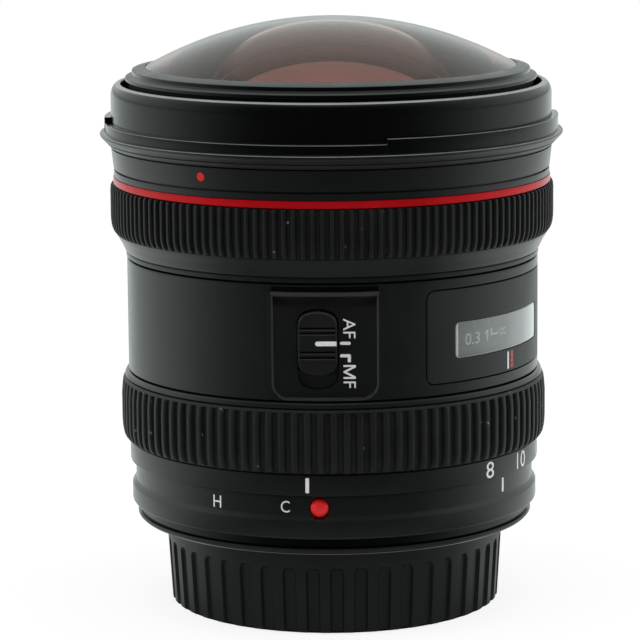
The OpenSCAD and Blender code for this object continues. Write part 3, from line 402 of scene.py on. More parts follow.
red_paint = finish("red_trim", (0.36, 0.001, 0.004), (0.43, 0.0014, 0.005), (0.2, 0.28), 4200.0, 0.08,
                   specular=0.3, metallic=0.3)
red_bead = finish("red_bead", (0.48, 0.006, 0.008), (0.56, 0.01, 0.01), (0.2, 0.3), 3000.0, 0.1)
white_ink = ink("white_ink", (0.5, 0.5, 0.51), (0.6, 0.6, 0.61))
faint_ink = ink("faint_ink", (0.9, 0.92, 0.91), (0.97, 0.98, 0.98))
green_ink = ink("green_ink", (0.16, 0.42, 0.3), (0.2, 0.5, 0.36))
red_ink = ink("red_ink", (0.42, 0.008, 0.006), (0.5, 0.012, 0.008), 0.2)
pale_red_ink = ink("pale_red_ink", (0.26, 0.05, 0.05), (0.34, 0.07, 0.07))
drum_paint = finish("drum_paint", (0.19, 0.205, 0.2), (0.23, 0.245, 0.24), (0.45, 0.55), 4000.0, 0.15)
# Painted highlight for the bright left edge of the window pane.
pane_painted_highlight = finish("pane_painted_highlight", (0.3, 0.32, 0.32), (0.36, 0.38, 0.38), (0.4, 0.5), 4000.0, 0.1)
# Painted highlight for the lit edges round the switch recess and on the knob.
plastic_painted_highlight = finish("plastic_painted_highlight", (0.022, 0.024, 0.024), (0.03, 0.032, 0.032), (0.4, 0.5), 3800.0, 0.2)
# Painted highlights for the lit edges of the front barrel's ledge, lugs and flange, and its lit rounded rim.
painted_edge_highlight = finish("painted_edge_highlight", (0.075, 0.078, 0.078), (0.105, 0.108, 0.108), (0.3, 0.4), 3800.0, 0.1)
painted_rim_highlight = finish("painted_rim_highlight", (0.16, 0.165, 0.165), (0.2, 0.205, 0.205), (0.3, 0.4), 3800.0, 0.1)
# Painted shade for the knob's grooves.
groove_painted_shade = finish("groove_painted_shade", (0.0012, 0.0013, 0.0013), (0.0018, 0.0019, 0.0019), (0.5, 0.6),
                      4000.0, 0.15, specular=0.1)
chrome = finish("chrome_mount", 0.6, 0.7, (0.16, 0.28), 1500.0, 0.1, metallic=1.0)
black_metal = finish("black_aluminium", (0.012, 0.012, 0.013), (0.02, 0.02, 0.022), (0.35, 0.5), 3000.0, 0.2)
steel = finish("steel", (0.42, 0.42, 0.43), (0.52, 0.52, 0.53), (0.25, 0.38), 1800.0, 0.15, metallic=1.0)
brass = finish("brass", (0.48, 0.33, 0.12), (0.58, 0.4, 0.16), (0.25, 0.38), 1800.0, 0.15, metallic=1.0)
board = finish("board", (0.01, 0.05, 0.02), (0.015, 0.075, 0.03), (0.4, 0.5), 1500.0, 0.2)
dome_glass = glass("dome_glass", (0.97, 0.9, 0.87), 1.5, body=(0.66, 0.5, 0.45), sheen=(1.0, 0.66, 0.56))
coated_glass = glass("coated_glass", (0.86, 0.58, 0.54), 1.75, coat=0.8)
# Painted reflection: the pane's share of mirror rises along +X, for a brighter reflection at its right end.
pane_plastic = glass("pane_plastic", (0.93, 0.95, 0.95), 1.5,
                     coat_stops=[(21.0, 0.07), (28.5, 0.13), (31.5, 0.3), (34.0, 0.75)])


def recess_shading():
    """Paint that fades to a painted black shade in the cove over the switch, with a painted highlight on the
    lip above it and painted shade above that.
    """
    made, tree, shader = new_material("recess_shade_and_highlight")
    colour = graded(tree, "Z", 55.0, 60.0, (55.7, 0.0064), (56.5, 0.0012), (57.5, 0.0012),
                    (57.8, (0.03, 0.0285, 0.026)), (58.35, (0.025, 0.024, 0.0225)), (58.5, 0.001))
    rough = ramp(tree, noise(tree, PATCHES), (0.25, 0.4), (0.75, 0.5))
    fill(tree, shader, {"Base Color": colour, "Roughness": rough, "Specular IOR Level": 0.35})
    return made


def cell_finish():
    """Black outside the front cell, and inside it a dull brown painted in as the coatings' glow."""
    made, tree, shader = new_material("cell_black_painted_glow")
    coords = node(tree, "TexCoord")["Object"]
    flat = node(tree, "VectorMath", {0: coords, 1: (1, 1, 0)}, operation="MULTIPLY")["Vector"]
    radius = node(tree, "VectorMath", {0: flat}, operation="LENGTH")["Value"]
    share = node(tree, "Math", {0: radius, 1: 20.0}, operation="MULTIPLY")["Value"]
    colour = ramp(tree, share, (0.65, (0.15, 0.062, 0.05)), (0.66, 0.003))
    fill(tree, shader, {"Base Color": colour, "Roughness": 0.6, "Specular IOR Level": 0.2})
    return made


# Painted shade and highlight for the cove and lip over the switch.
recess_shade_and_highlight = recess_shading()
CARRIED = {"black_paint": paint, "black_plastic": plastic, "grip_rubber": rubber, "red_trim": red_paint,
           "red_bead": red_bead, "chrome_mount": chrome, "black_aluminium": black_metal, "steel": steel,
           "brass": brass, "optical_glass": coated_glass, "clear_pane": pane_plastic, "board": board}
for carried in frame["nodes"].values():
    for k, given in enumerate(carried.data.materials):
        carried.data.materials[k] = CARRIED[given.name.split(".")[0]]
frame["nodes"]["front_cell"].data.materials[0] = cell_finish()
for name in ("guide_barrel", "focus_cell", "contact_block", "gel_filter_frame"):
    frame["nodes"][name].data.materials[0] = matt_black
frame["nodes"]["distance_drum"].data.materials[0] = drum_paint


# Rear cap: flutes with round tops, cut into the tapered wall

CAP_FLUTES = 45
CAP_PITCH = 360 / CAP_FLUTES
FLUTE_W = 2.35
FLUTE_TURN = 0.7
FLUTE_DEPTH = 0.5
FLUTE_FADE = 0.24
FLUTE_TOP = 11.3
CAP_INNER = 27.2
CAP_FLOOR = 2.0
CAP_DISH_R = 22.5
CAP_DISH = 0.35
Z_CAP_RIM = 13.5


def flutes(angle, r, z):
    """Sinks the cap's wall where a flute runs."""
    across = np.radians((angle - FLUTE_TURN + CAP_PITCH / 2) % CAP_PITCH - CAP_PITCH / 2) * R_CAP
    rise = np.maximum(z - (FLUTE_TOP - FLUTE_W / 2), 0)
    inside = FLUTE_W / 2 - np.hypot(across, rise)
    wall = (r > R_CAP_FOOT - 0.4) & (z < FLUTE_TOP + 1)
    return r - np.where(wall, FLUTE_DEPTH * step(0.0, FLUTE_FADE, inside), 0), z


wall_z = lines([0.3], np.arange(9.4, 11.5, 0.14), [2, 4, 6, 8, 12.2, 13.3], gap=0.05)
cap_wall = [(R_CAP_FOOT + (R_CAP - R_CAP_FOOT) * z / Z_CAP_RIM, z, 0) for z in wall_z]
cap_outline = soften([
    (0, CAP_DISH, 0), (CAP_DISH_R, CAP_DISH), (CAP_DISH_R + 0.5, 0, 0.1), (R_CAP_FOOT - 0.3, 0, 0.2),
    *cap_wall, (R_CAP, Z_CAP_RIM, 0.06), (R_CAP - 0.2, 13.7, 0.06), (R_CAP, 13.9, 0.06),
    (R_CAP, Z_CAP_TOP, 0.25), (CAP_INNER, Z_CAP_TOP), (CAP_INNER, CAP_FLOOR), (0, CAP_FLOOR, 0)])
half_flute = np.array([0.45, 0.8, 0.94, 1.02, 1.1, 1.18, 1.28, 1.6])
flute_columns = np.hstack([-half_flute[::-1], [0], half_flute])
cap_angles = np.arange(CAP_FLUTES)[:, None] * CAP_PITCH + FLUTE_TURN + np.degrees(flute_columns / R_CAP)
turned("rear_cap_moulding", cap_outline, plastic, "rear_cap", "rear_cap", "black_plastic",
       cap_angles.ravel(), flutes)

# Mount gasket and the fixed rear ring, with the seat of the red bead

GASKET_BORE = 32.55
GASKET_NECK = 33.05
SKIRT_LOW = Z_FLANGE + 0.25
SKIRT_TOP = 15.8
skirt_outline = soften([
    (GASKET_BORE, SKIRT_LOW), (33.2, SKIRT_LOW, 0.3), (R_GASKET, 15.35, 0.3), (R_GASKET, SKIRT_TOP, 0.15),
    (GASKET_NECK, SKIRT_TOP + 0.15), (GASKET_NECK, Z_REAR), (GASKET_BORE, Z_REAR)])
mount_skirt = turned("mount_skirt", skirt_outline, wall_paint, "mount_gasket", slot="grip_rubber")
dress(mount_skirt, [plastic], lambda face, r, angle, z: z < SKIRT_TOP - 0.05)

BEAD_Z = 22.68
BEAD_R = 1.5
BEAD_GAP = 0.08
BEAD_SEAT = 0.8
LIP_CHAMFER = 20.55
REAR_BORE = 20.5
REAR_INNER = 32.9
Z_REAR_PLATE = 19.5


def bead_seat(angle, r, z):
    """Sinks the band of the rear ring where the bead sits."""
    across = np.radians(from_angle(angle, A_BEAD)) * R_BAND
    distance = np.hypot(across, z - BEAD_Z) - BEAD_R - BEAD_GAP
    band = (r > R_BAND - 0.01) & (z > Z_LIP + 0.05)
    return r - np.where(band, BEAD_SEAT * (1 - step(-0.1, 0.1, distance)), 0), z


band_z = [(R_BAND, z, 0) for z in np.arange(Z_LIP + 0.6, Z_BAND - 0.3, 0.15)]
rear_outline = soften([
    (REAR_BORE, Z_REAR), (R_LIP, Z_REAR, 0.6), (R_LIP, LIP_CHAMFER, 0.12), (R_BAND, Z_LIP + 0.45, 0.08),
    *band_z, (R_BAND, Z_BAND, 0.15), (REAR_INNER, Z_BAND), (REAR_INNER, Z_REAR_PLATE),
    (REAR_BORE, Z_REAR_PLATE)])
bead_angles = A_BEAD + np.degrees(np.arange(-2.1, 2.15, 0.13) / R_BAND)
turned("rear_ring", rear_outline, paint, "rear_barrel_ring", shape=bead_seat,
       angles=lines(bead_angles % 360, np.arange(0, 360, 2.0), gap=0.1))

BEAD_SPAN = math.radians(62)
BEAD_TOP = 34.93
BEAD_FOOT = 33.3
BEAD_RISE = 0.6076 * BEAD_R
bead_tilt = np.append(np.linspace(0, BEAD_SPAN, 12), BEAD_SPAN)
bead_turn = np.radians(np.arange(0, 360, 10.0))
bead_out = (BEAD_TOP - BEAD_RISE * (1 - np.cos(bead_tilt)) / (1 - math.cos(BEAD_SPAN)))[:, None]
bead_out[-1] = BEAD_FOOT
bead_across = (BEAD_R * np.sin(bead_tilt) / math.sin(BEAD_SPAN))[:, None]
bead_x, bead_up = bead_across * np.cos(bead_turn), bead_across * np.sin(bead_turn)
bead_at = A_BEAD + np.degrees(np.arctan2(bead_x, bead_out))
bead_points = place(np.hypot(bead_out, bead_x), bead_at, BEAD_Z + bead_up)
bead_base = np.arange(len(bead_turn)) + (len(bead_tilt) - 1) * len(bead_turn)
bead_faces = [*grid_faces(len(bead_tilt), len(bead_turn), close_rows=False), bead_base]
piece("index_bead", bead_points, bead_faces, red_bead, "barrel", "red_bead", "mount_index_bead")

# Zoom ring: scale sleeve, ribbed rubber and smooth rim

ZOOM_BORE = 32.86
ZOOM_SEAT = 35.2
ZOOM_SEAM = R_SLEEVE - 0.6
z_seat = Z_ZOOM_RUBBER - 0.05
z_rim = Z_ZOOM_RIM + 0.2
zoom_outline = soften([
    (ZOOM_BORE, Z_ZOOM), (R_SLEEVE, Z_ZOOM, 0.3), (R_SLEEVE, Z_ZOOM_RUBBER - 0.38, 0.06),
    (ZOOM_SEAM, Z_ZOOM_RUBBER - 0.36, 0.03), (ZOOM_SEAM, z_seat, 0.03), (ZOOM_SEAT, z_seat),
    (ZOOM_SEAT, z_rim), (35.75, z_rim, 0.15), (35.3, Z_ZOOM_TOP, 0.3), (ZOOM_BORE, Z_ZOOM_TOP)])
turned("zoom_shell", zoom_outline, paint, "zoom_ring_shell", "zoom_ring")


def ribbed(name, count, share, foot, head, floor_r, bore, z0, z1, body, replaced, plain=0.0):
    """A ribbed ring, plain at its top; foot and head give rib tops as (radius, height from the edge)."""
    crown = [(r, z0 + up) for r, up in foot] + [(r, z1 - down) for r, down in head]
    tips, heights = np.array(crown).T
    outline = np.array([(bore, z0), *crown, (bore, z1)])
    flank = np.array([0, 0.22, 0.5, 0.78, 1]) * share * 0.3
    across = np.hstack([flank, [share / 2], share - flank[::-1], [(share + 1) / 2]])
    rise = np.hstack([[0, 0.42, 0.8, 0.96, 1], [1.05], [1, 0.96, 0.8, 0.42, 0], [-0.06]])
    angles = ((np.arange(count)[:, None] + across - share / 2) * 360 / count).ravel()
    lift = np.tile(rise, count)

    def ribs(angle, r, z):
        tip = np.interp(z[:, 0], heights, tips)[:, None]
        open_end = step(z0 + 0.02, z0 + 0.3, z)
        low = np.maximum(bore + 0.06, np.minimum(floor_r, tip - 0.6 * open_end))
        low = np.where(z > z1 - plain, tip, np.minimum(low, tip))
        return np.where(r > bore + 0.02, low + (tip - low) * lift, r), z

    return turned(name, outline, rubber, replaced, body, "grip_rubber", angles, ribs, crease=50)


ZOOM_FOOT = [(35.42, 0), (35.52, 0.1), (35.62, 0.2), (35.74, 0.33), (35.9, 0.55), (36.06, 1.1), (36.18, 1.9),
             (R_ZOOM_RUBBER, 3.2)]
ZOOM_HEAD = [(R_ZOOM_RUBBER, 3), (36.16, 1.8), (36.06, 0.9), (36.02, 0.7), (35.98, 0.5), (35.94, 0.4),
             (35.74, 0.12), (35.55, 0)]
ribbed("zoom_grip", 105, 0.66, ZOOM_FOOT, ZOOM_HEAD, 35.55, ZOOM_SEAT + 0.05, Z_ZOOM_RUBBER, Z_ZOOM_RIM,
       "zoom_ring", "zoom_ring_rubber", plain=0.55)

# Main barrel: a grid over angle and height, with the switch recess and the window's pocket in it

SWITCH_FLOOR = 33.5
SWITCH_LEFT, SWITCH_RIGHT = -8.72, 8.26
SWITCH_LOW = 40.95
SWITCH_TOP = 57.8
SWITCH_CORNER = 2.4
SWITCH_BACK = 31.9
OPEN_TOP = 70.0
BRIM = 0.95
COVE_LOW = 55.9
LIP_TOP = 58.42
LIP_END = 59.1
SLOT_X = -1.45
SLOT_W = 6.8
SLOT_END = 5.2
END_CORNER = 0.9
SLOT_FLOOR = 32.7
SLOT_LOW = 42.3
SLOT_HIGH = 55.4
PANEL_HALF = 18.0
PANEL_LOW = 42.45
PANEL_HIGH = 57.75
PANEL_CORNER = 1.2
PANEL_DEPTH = 0.62
WINDOW_LEFT, WINDOW_RIGHT = -13.05, 11.95
WINDOW_LOW, WINDOW_HIGH = 46.2, 52.3
LEDGE = 0.2
BARREL_BORE = 33.9
BARREL_FOOT = 32.85
Z_BARREL_STEP = 44.7


def switch_edge(x, z):
    """Signed distance to the outline of the switch recess, below 0 inside."""
    return box_distance(x, z, SWITCH_LEFT, SWITCH_RIGHT, SWITCH_LOW, OPEN_TOP, SWITCH_CORNER)


def switch_recess(angle, z):
    """Radius of the barrel at the switch: a flat floor that sweeps up at its top, and the knob's slot."""
    turn = np.radians(np.clip(from_angle(angle, A_SWITCH), -25, 25))
    x, skin = R_BARREL * np.sin(turn), R_BARREL * np.cos(turn)
    edge = np.maximum(switch_edge(x, z), z - SWITCH_TOP)
    brim = box_distance(x, z, SWITCH_LEFT - BRIM, SWITCH_RIGHT + BRIM, SWITCH_LOW - 0.2, OPEN_TOP, 3.2)
    cove = np.clip((z - COVE_LOW) / (SWITCH_TOP - COVE_LOW), 0, 1) ** 1.7
    rounded = skin - 0.1 * np.clip(1 - np.abs(brim) / 0.16, 0, 1) - 0.05 * (brim < 0)
    floor = SWITCH_FLOOR + np.maximum(rounded - SWITCH_FLOOR - 0.2, 0) * cove
    cut = np.minimum(rounded, floor)
    depth = cut + (rounded - cut) * step(-0.04, 0.24, edge)
    over = (1 - step(SWITCH_RIGHT, SWITCH_RIGHT + 0.8, x)) * step(SWITCH_LEFT - 0.8, SWITCH_LEFT, x)
    depth = depth - 0.5 * over * step(LIP_TOP, LIP_TOP + 0.14, z) * (1 - step(LIP_END, LIP_END + 0.2, z))
    slot = arch_distance(x - SLOT_X, z, SLOT_W / 2, SLOT_LOW, SLOT_HIGH, SLOT_END, END_CORNER)
    depth = np.where(slot < 0.2, SLOT_FLOOR + (depth - SLOT_FLOOR) * step(-0.03, 0.11, slot), depth)
    near = np.abs(from_angle(angle, A_SWITCH)) < 20
    return np.where(near, depth / np.cos(turn), R_BARREL)


def window_pocket(angle, z):
    """How deep the barrel is let in for the window panel."""
    turn = np.radians(np.clip(from_angle(angle, A_WINDOW), -80, 80))
    x = R_BARREL * np.sin(turn)
    edge = box_distance(x, z, -PANEL_HALF - 0.02, PANEL_HALF + 0.1, PANEL_LOW - 0.1, PANEL_HIGH + 0.1,
                        PANEL_CORNER)
    return PANEL_DEPTH * (1 - step(-0.1, 0.14, edge)) * (np.abs(from_angle(angle, A_WINDOW)) < 80)


def barrel_shape(angle, r, z):
    """Radius of the barrel's two skins, the inner one drawn back behind the switch."""
    behind = (np.abs(r - BARREL_BORE) < 0.001) & (np.abs(from_angle(angle, A_SWITCH)) < 19)
    inside = np.where(behind, SWITCH_BACK, r)
    return np.where(r > R_BARREL - 0.001, switch_recess(angle, z) - window_pocket(angle, z), inside)


fine = np.arange(-0.36, 0.37, 0.09)
edge_lines = np.array([-0.08, -0.04, 0.02, 0.07, 0.12, 0.17, 0.22, 0.27, 0.32])
hole_x = [WINDOW_LEFT + LEDGE, WINDOW_RIGHT - LEDGE]
hole_z = [WINDOW_LOW + LEDGE, WINDOW_HIGH - LEDGE]
barrel_columns = [
    (hole_x, A_WINDOW), (edge_lines + SWITCH_LEFT - 0.24, A_SWITCH), (edge_lines + SWITCH_RIGHT, A_SWITCH),
    (fine - PANEL_HALF, A_WINDOW), (fine + PANEL_HALF, A_WINDOW),
    (np.arange(SLOT_X - 3.7, SLOT_X + 3.75, 0.1), A_SWITCH), (np.arange(-10.1, 10.2, 0.2), A_SWITCH),
    (np.arange(-18.4, -16, 0.15), A_WINDOW), (np.arange(16, 18.5, 0.15), A_WINDOW)]
barrel_angles = lines(*[chord_angles(xs, centre) % 360 for xs, centre in barrel_columns],
                      np.arange(0, 360, 2.0), gap=0.06)
barrel_z = lines(
    hole_z, PANEL_LOW + fine, PANEL_HIGH + fine, SWITCH_LOW - edge_lines, SWITCH_TOP + fine[2:],
    LIP_TOP + np.arange(0, 0.2, 0.07), [59.1, 59.2, 59.3], np.arange(SLOT_LOW - 0.2, 45.8, 0.1),
    np.arange(52, SLOT_HIGH + 0.3, 0.1), np.arange(41.0, 59.2, 0.2), gap=0.06)
barrel_outline = np.array([
    (BARREL_FOOT, Z_BARREL), (34.75, Z_BARREL), (34.93, Z_BARREL + 0.07), *[(R_BARREL, z) for z in barrel_z],
    (34.93, Z_BARREL_TOP - 0.07), (34.75, Z_BARREL_TOP), (BARREL_BORE, Z_BARREL_TOP),
    (BARREL_BORE, hole_z[1]), (BARREL_BORE, hole_z[0]), (BARREL_BORE, Z_BARREL_STEP),
    (BARREL_FOOT, Z_BARREL_STEP)])


def barrel_mesh():
    """The barrel's grid with the window hole cut through it."""
    rows, columns = len(barrel_outline), len(barrel_angles)
    r, z = np.repeat(barrel_outline.T[:, :, None], columns, axis=2)
    r = barrel_shape(np.broadcast_to(barrel_angles, r.shape), r, z)
    left, right = [int(np.argmin(np.abs(barrel_angles - a))) for a in chord_angles(hole_x, A_WINDOW)]
    low, high = [3 + int(np.argmin(np.abs(barrel_z - h))) for h in hole_z]
    in_high, in_low = rows - 4, rows - 3
    faces = []
    for face in grid_faces(rows, columns):
        i, j = divmod(int(face[0]), columns)
        if not (left <= j < right and (low <= i < high or i == in_high)):
            faces.append(face)
    for outer, inner in ((low, in_low), (high, in_high)):
        a, b = outer * columns, inner * columns
        faces += [[a + j, a + j + 1, b + j + 1, b + j] for j in range(left, right)]
    for j in (left, right):
        faces.append([i * columns + j for i in [*range(low, high + 1), in_high, in_low]])
    return place(r, barrel_angles, z), faces


def barrel_finish(face, r, angle, z):
    """The painted shade and highlight of the cove over the switch, and a painted highlight on the edge round
    the recess.
    """
    turn = math.radians(from_angle(angle, A_SWITCH))
    sunk = r * math.cos(turn) < R_BARREL * math.cos(turn) - 0.03
    rim = float(switch_edge(R_BARREL * math.sin(turn), z))
    if sunk and 0.02 < rim < 0.2 and z < 57.6:
        return 2
    return sunk and rim < 0.3 and 55.6 < z < 59.3


barrel_skin = piece("barrel_skin", *barrel_mesh(), paint, "barrel", "black_paint", "main_barrel", crease=40)
dress(barrel_skin, [recess_shade_and_highlight, plastic_painted_highlight], barrel_finish)

# Window panel and clear pane

PANEL_SEAT = 34.45
outer_loop = (-PANEL_HALF, PANEL_HALF, PANEL_LOW, PANEL_HIGH, PANEL_CORNER)
inner_loop = (WINDOW_LEFT, WINDOW_RIGHT, WINDOW_LOW, WINDOW_HIGH, 0.9)


def panel_ring(share, inset, drop):
    """A line on the panel between its edge (share 0) and the window's edge (share 1)."""
    x0, x1, z0, z1, corner = [a + (b - a) * share for a, b in zip(outer_loop, inner_loop)]
    loop = round_loop(x0 + inset, x1 - inset, z0 + inset, z1 - inset, max(corner - inset, 0.05), 60, 20, 9)
    return on_barrel(loop, R_BARREL - drop, A_WINDOW)


panel_drop = R_BARREL - PANEL_SEAT
panel_rows = [(0, 0, panel_drop), (0, 0, 0.16), (0, 0.02, 0.08), (0, 0.08, 0.02), (0, 0.18, 0)]
panel_rows += [(share, 0, 0) for share in np.linspace(0.08, 0.92, 8)]
panel_rows += [(1, -0.18, 0), (1, -0.06, 0.02), (1, -0.02, 0.06), (1, 0, 0.14), (1, 0, panel_drop)]
panel_rings = [panel_ring(*row) for row in panel_rows]
piece("window_plate", np.vstack(panel_rings), grid_faces(len(panel_rings), len(panel_rings[0])),
      panel_paint, "barrel", "black_paint", "window_panel", crease=45)


def slab(name, along, across, spread, top, bottom, lay, material, body, slot, replaces, crease=40):
    """A closed slab from stations along and across it, between a top and a bottom height."""
    middle, half = spread(along)
    v = middle[:, None] + half[:, None] * across
    u = np.repeat(along[:, None], len(across), axis=1)
    upper, lower = lay(u, v, top(u, v)), lay(u, v, np.full_like(u, bottom))
    rows, columns = u.shape
    under = rows * columns
    sheet = grid_faces(rows, columns, close_rows=False, close_columns=False)
    faces = [*sheet, *(sheet + under)]
    index = np.arange(under).reshape(rows, columns)
    ring = [*index[:, 0], *index[-1, 1:], *index[-2::-1, -1], *index[0, -2:0:-1]]
    faces += [[a, b, b + under, a + under] for a, b in zip(ring, ring[1:] + ring[:1])]
    points = np.vstack([upper.reshape(-1, 3), lower.reshape(-1, 3)])
    return piece(name, points, faces, material, body, slot, replaces, crease)


PANE_GAP = 0.06
PANE_CORNER = 0.85
PANE_TOP = 34.96
pane_x0, pane_x1 = WINDOW_LEFT + PANE_GAP, WINDOW_RIGHT - PANE_GAP
pane_z0, pane_z1 = WINDOW_LOW + PANE_GAP, WINDOW_HIGH - PANE_GAP
pane_rows = np.array([-1, -0.985, -0.96, -0.92, -0.6, -0.2, 0.2, 0.6, 0.92, 0.96, 0.985, 1])
pane_ends = np.array([0, 0.03, 0.08, 0.16, 0.28, 0.42, 0.6, PANE_CORNER])
pane_columns = np.hstack([pane_x0 + pane_ends, np.linspace(pane_x0 + 1.2, pane_x1 - 1.2, 26),
                          pane_x1 - pane_ends[::-1]])


def pane_spread(x):
    """Middle and half width of the pane along its length."""
    short = np.maximum(PANE_CORNER - np.minimum(x - pane_x0, pane_x1 - x), 0)
    cut = PANE_CORNER - np.sqrt(np.maximum(PANE_CORNER ** 2 - short ** 2, 0))
    return np.full_like(x, (pane_z0 + pane_z1) / 2), (pane_z1 - pane_z0) / 2 - cut


def pane_top(x, z):
    """Radius of the pane's outer face, rounded at its edge."""
    edge = -box_distance(x, z, pane_x0, pane_x1, pane_z0, pane_z1, PANE_CORNER)
    return PANE_TOP - 0.12 * (1 - np.clip(edge / 0.16, 0, 1)) ** 2


def pane_finish(face, r, angle, z):
    """A painted highlight on the pane's left end."""
    across = R_BARREL * math.sin(math.radians(angle - A_WINDOW))
    return across < pane_x0 + 0.42 and r > 34.6


window_pane = slab("window_pane", pane_columns, pane_rows, pane_spread, pane_top, PANEL_SEAT,
                   lambda x, z, r: place(r, chord_angles(x, A_WINDOW), z),
                   pane_plastic, "barrel", "clear_pane", "distance_window")
dress(window_pane, [pane_painted_highlight], pane_finish)

# Switch knob: a long round-ended button with two grooves on either side of its marked bar

KNOB_LOW, KNOB_HIGH = 44.6, 55.2
KNOB_W = 6.4
KNOB_END = 5.0
KNOB_TOP = 34.22
KNOB_FOOT = 33.25
KNOB_MID = (KNOB_LOW + KNOB_HIGH) / 2
GROOVES = (2.46, 1.67, -1.46, -2.36)
GROOVE_CUT = [(-0.3, 0.0), (-0.15, -0.2), (0.17, -0.22), (0.23, 0.0)]


def knob_inside(x, z):
    """Distance from the knob's outline, above 0 inside."""
    return -arch_distance(x, z, KNOB_W / 2, KNOB_LOW, KNOB_HIGH, KNOB_END, END_CORNER)


def knob_spread(z):
    """Middle and half width of the knob along its length."""
    across = np.linspace(0, KNOB_W / 2, 600)
    inside = [across[knob_inside(across, h) >= 0] for h in z]
    return np.full_like(z, SLOT_X), np.array([max(x.max(initial=0), 0.05) for x in inside])


def knob_top(z, x):
    """Height of the knob's face, rounded at its edge and cut by the grooves."""
    edge = knob_inside(x - SLOT_X, z)
    height = KNOB_TOP - 0.24 * (1 - np.clip(edge / 0.34, 0, 1)) ** 1.5
    inside = step(0.3, 0.4, edge)
    for offset in GROOVES:
        height = height + inside * np.interp(z - KNOB_MID - offset, *zip(*GROOVE_CUT), left=0, right=0)
    return height


def on_switch(z, x, d):
    """Places a point of the flat switch panel: d is its distance from the axis."""
    return place(np.hypot(d, x), A_SWITCH + np.degrees(np.arctan2(x, d)), z)


def knob_finish(face, r, angle, z):
    """Painted shade in the grooves, painted highlights on the edges above them and at the knob's upper end.
    """
    turn = math.radians(from_angle(angle, A_SWITCH))
    rim = knob_inside(r * math.sin(turn) - SLOT_X, z)
    up = z - KNOB_MID
    if r * math.cos(turn) <= SWITCH_FLOOR:
        return 0
    if rim > 0.36 and any(-0.15 < up - o < 0.17 for o in GROOVES):
        return 1
    lit_edge = rim > 0.36 and any(-0.3 < up - o < -0.15 for o in GROOVES)
    return 2 if lit_edge or 0.14 < rim < 0.34 and up > 3.6 else 0


knob_cap = (KNOB_HIGH - KNOB_LOW) / 2 - 1.2 * np.linspace(0, 1, 16) ** 2
groove_rows = np.hstack([o + np.array([-0.3, -0.15, 0.0, 0.17, 0.23]) for o in GROOVES])
knob_rows = KNOB_MID + lines(groove_rows, knob_cap, -knob_cap, np.arange(-3.6, 3.7, 0.4), gap=0.04)
knob_edge = np.array([0.8, 0.87, 0.9, 0.93, 0.96, 0.985, 1])
knob_across = np.hstack([-knob_edge[::-1], np.linspace(-0.6, 0.6, 7), knob_edge])
switch_knob = slab("switch_knob", knob_rows, knob_across, knob_spread, knob_top, KNOB_FOOT, on_switch,
                   plastic, "af_switch", "black_plastic", "af_switch_knob", crease=30)
dress(switch_knob, [groove_painted_shade, plastic_painted_highlight], knob_finish)

# Focus ring: smooth foot and cone, then the ribbed rubber

FOCUS_SEAT = 36.6
FOCUS_BORE = 33.96
FOCUS_FOOT = 31.65
Z_FOCUS_STEP = 62.3
Z_FOCUS_SEAT = 63.95
focus_outline = soften([
    (FOCUS_FOOT, Z_FOCUS), (R_FOCUS_BASE, Z_FOCUS, 0.2), (R_FOCUS_BASE, 60.58, 0.08),
    (R_FOCUS_BASE - 0.2, 60.72, 0.05), (R_FOCUS_BASE + 0.12, 60.95, 0.1), (35.9, 62.4, 0.6),
    (36.85, Z_FOCUS_SEAT, 0.15), (FOCUS_SEAT, Z_FOCUS_SEAT), (FOCUS_SEAT, Z_FOCUS_TOP),
    (FOCUS_BORE, Z_FOCUS_TOP), (FOCUS_BORE, Z_FOCUS_STEP), (FOCUS_FOOT, Z_FOCUS_STEP)])
turned("focus_shell", focus_outline, paint, "focus_ring_shell", "focus_ring")
FOCUS_RIB_FOOT = [(36.86, 0), (36.98, 0.12), (37.09, 0.28), (37.2, 0.45), (37.36, 0.85), (37.5, 1.4),
                  (37.58, 2.1), (R_FOCUS_RUBBER, 3)]
FOCUS_RIB_HEAD = [(R_FOCUS_RUBBER, 1), (37.56, 0.4), (37.47, 0.12), (37.34, 0)]
ribbed("focus_grip", 150, 0.6, FOCUS_RIB_FOOT, FOCUS_RIB_HEAD, 36.98, FOCUS_SEAT + 0.05, Z_FOCUS_RUBBER,
       Z_FOCUS_TOP, "focus_ring", "focus_ring_rubber")

# Red trim ring and name ring

NAME_BORE = 36.25
NAME_FLARE = 0.35
NAME_TOP = 78.34
z_trim_top = Z_TRIM + 1.25
trim_outline = soften([(NAME_BORE, Z_TRIM), (R_TRIM, Z_TRIM, 0.2), (R_TRIM, z_trim_top, 0.2),
                       (NAME_BORE, z_trim_top)])
turned("red_ring", trim_outline, red_paint, "trim_ring", slot="red_trim")
name_outline = soften([
    (NAME_BORE, Z_NAME), (R_NAME - 0.05, Z_NAME, 0.1), (R_NAME - 0.05, 74.58, 0.06),
    (R_NAME - 0.6, 74.62, 0.04), (R_NAME - 0.6, Z_GROOVE, 0.04), (R_NAME, 74.95, 0.06),
    (R_NAME + NAME_FLARE, 78.25, 0.1), (R_NAME + NAME_FLARE, NAME_TOP, 0.06), (NAME_BORE, NAME_TOP)])
turned("front_ring", name_outline, paint, "name_ring")

# Front barrel: flange, hood ledge with its lugs, and the front wall with its rounded rim

RIM_W, RIM_H = 1.3, 2.1
WALL_BORE = 35.6


def hood_lugs(angle, r, z):
    """Lifts and widens the hood ledge where a bayonet lug stands on it."""
    into = from_angle(angle, A_LUG) % 180
    on = step(0.0, 0.12, np.minimum(into, LUG_SWEEP - into))
    ledge = (r > R_WALL + 0.04) & (z > Z_LEDGE - 0.3) & (z < Z_LEDGE + 0.3)
    side = (r > R_HOOD - 0.1) & (z > Z_EDGE_TOP + 0.12) & (z < Z_LEDGE + 0.3)
    return r + np.where(side, (R_LUG - R_HOOD) * on, 0), z + np.where(ledge, (Z_LUG_TOP - Z_LEDGE) * on, 0)


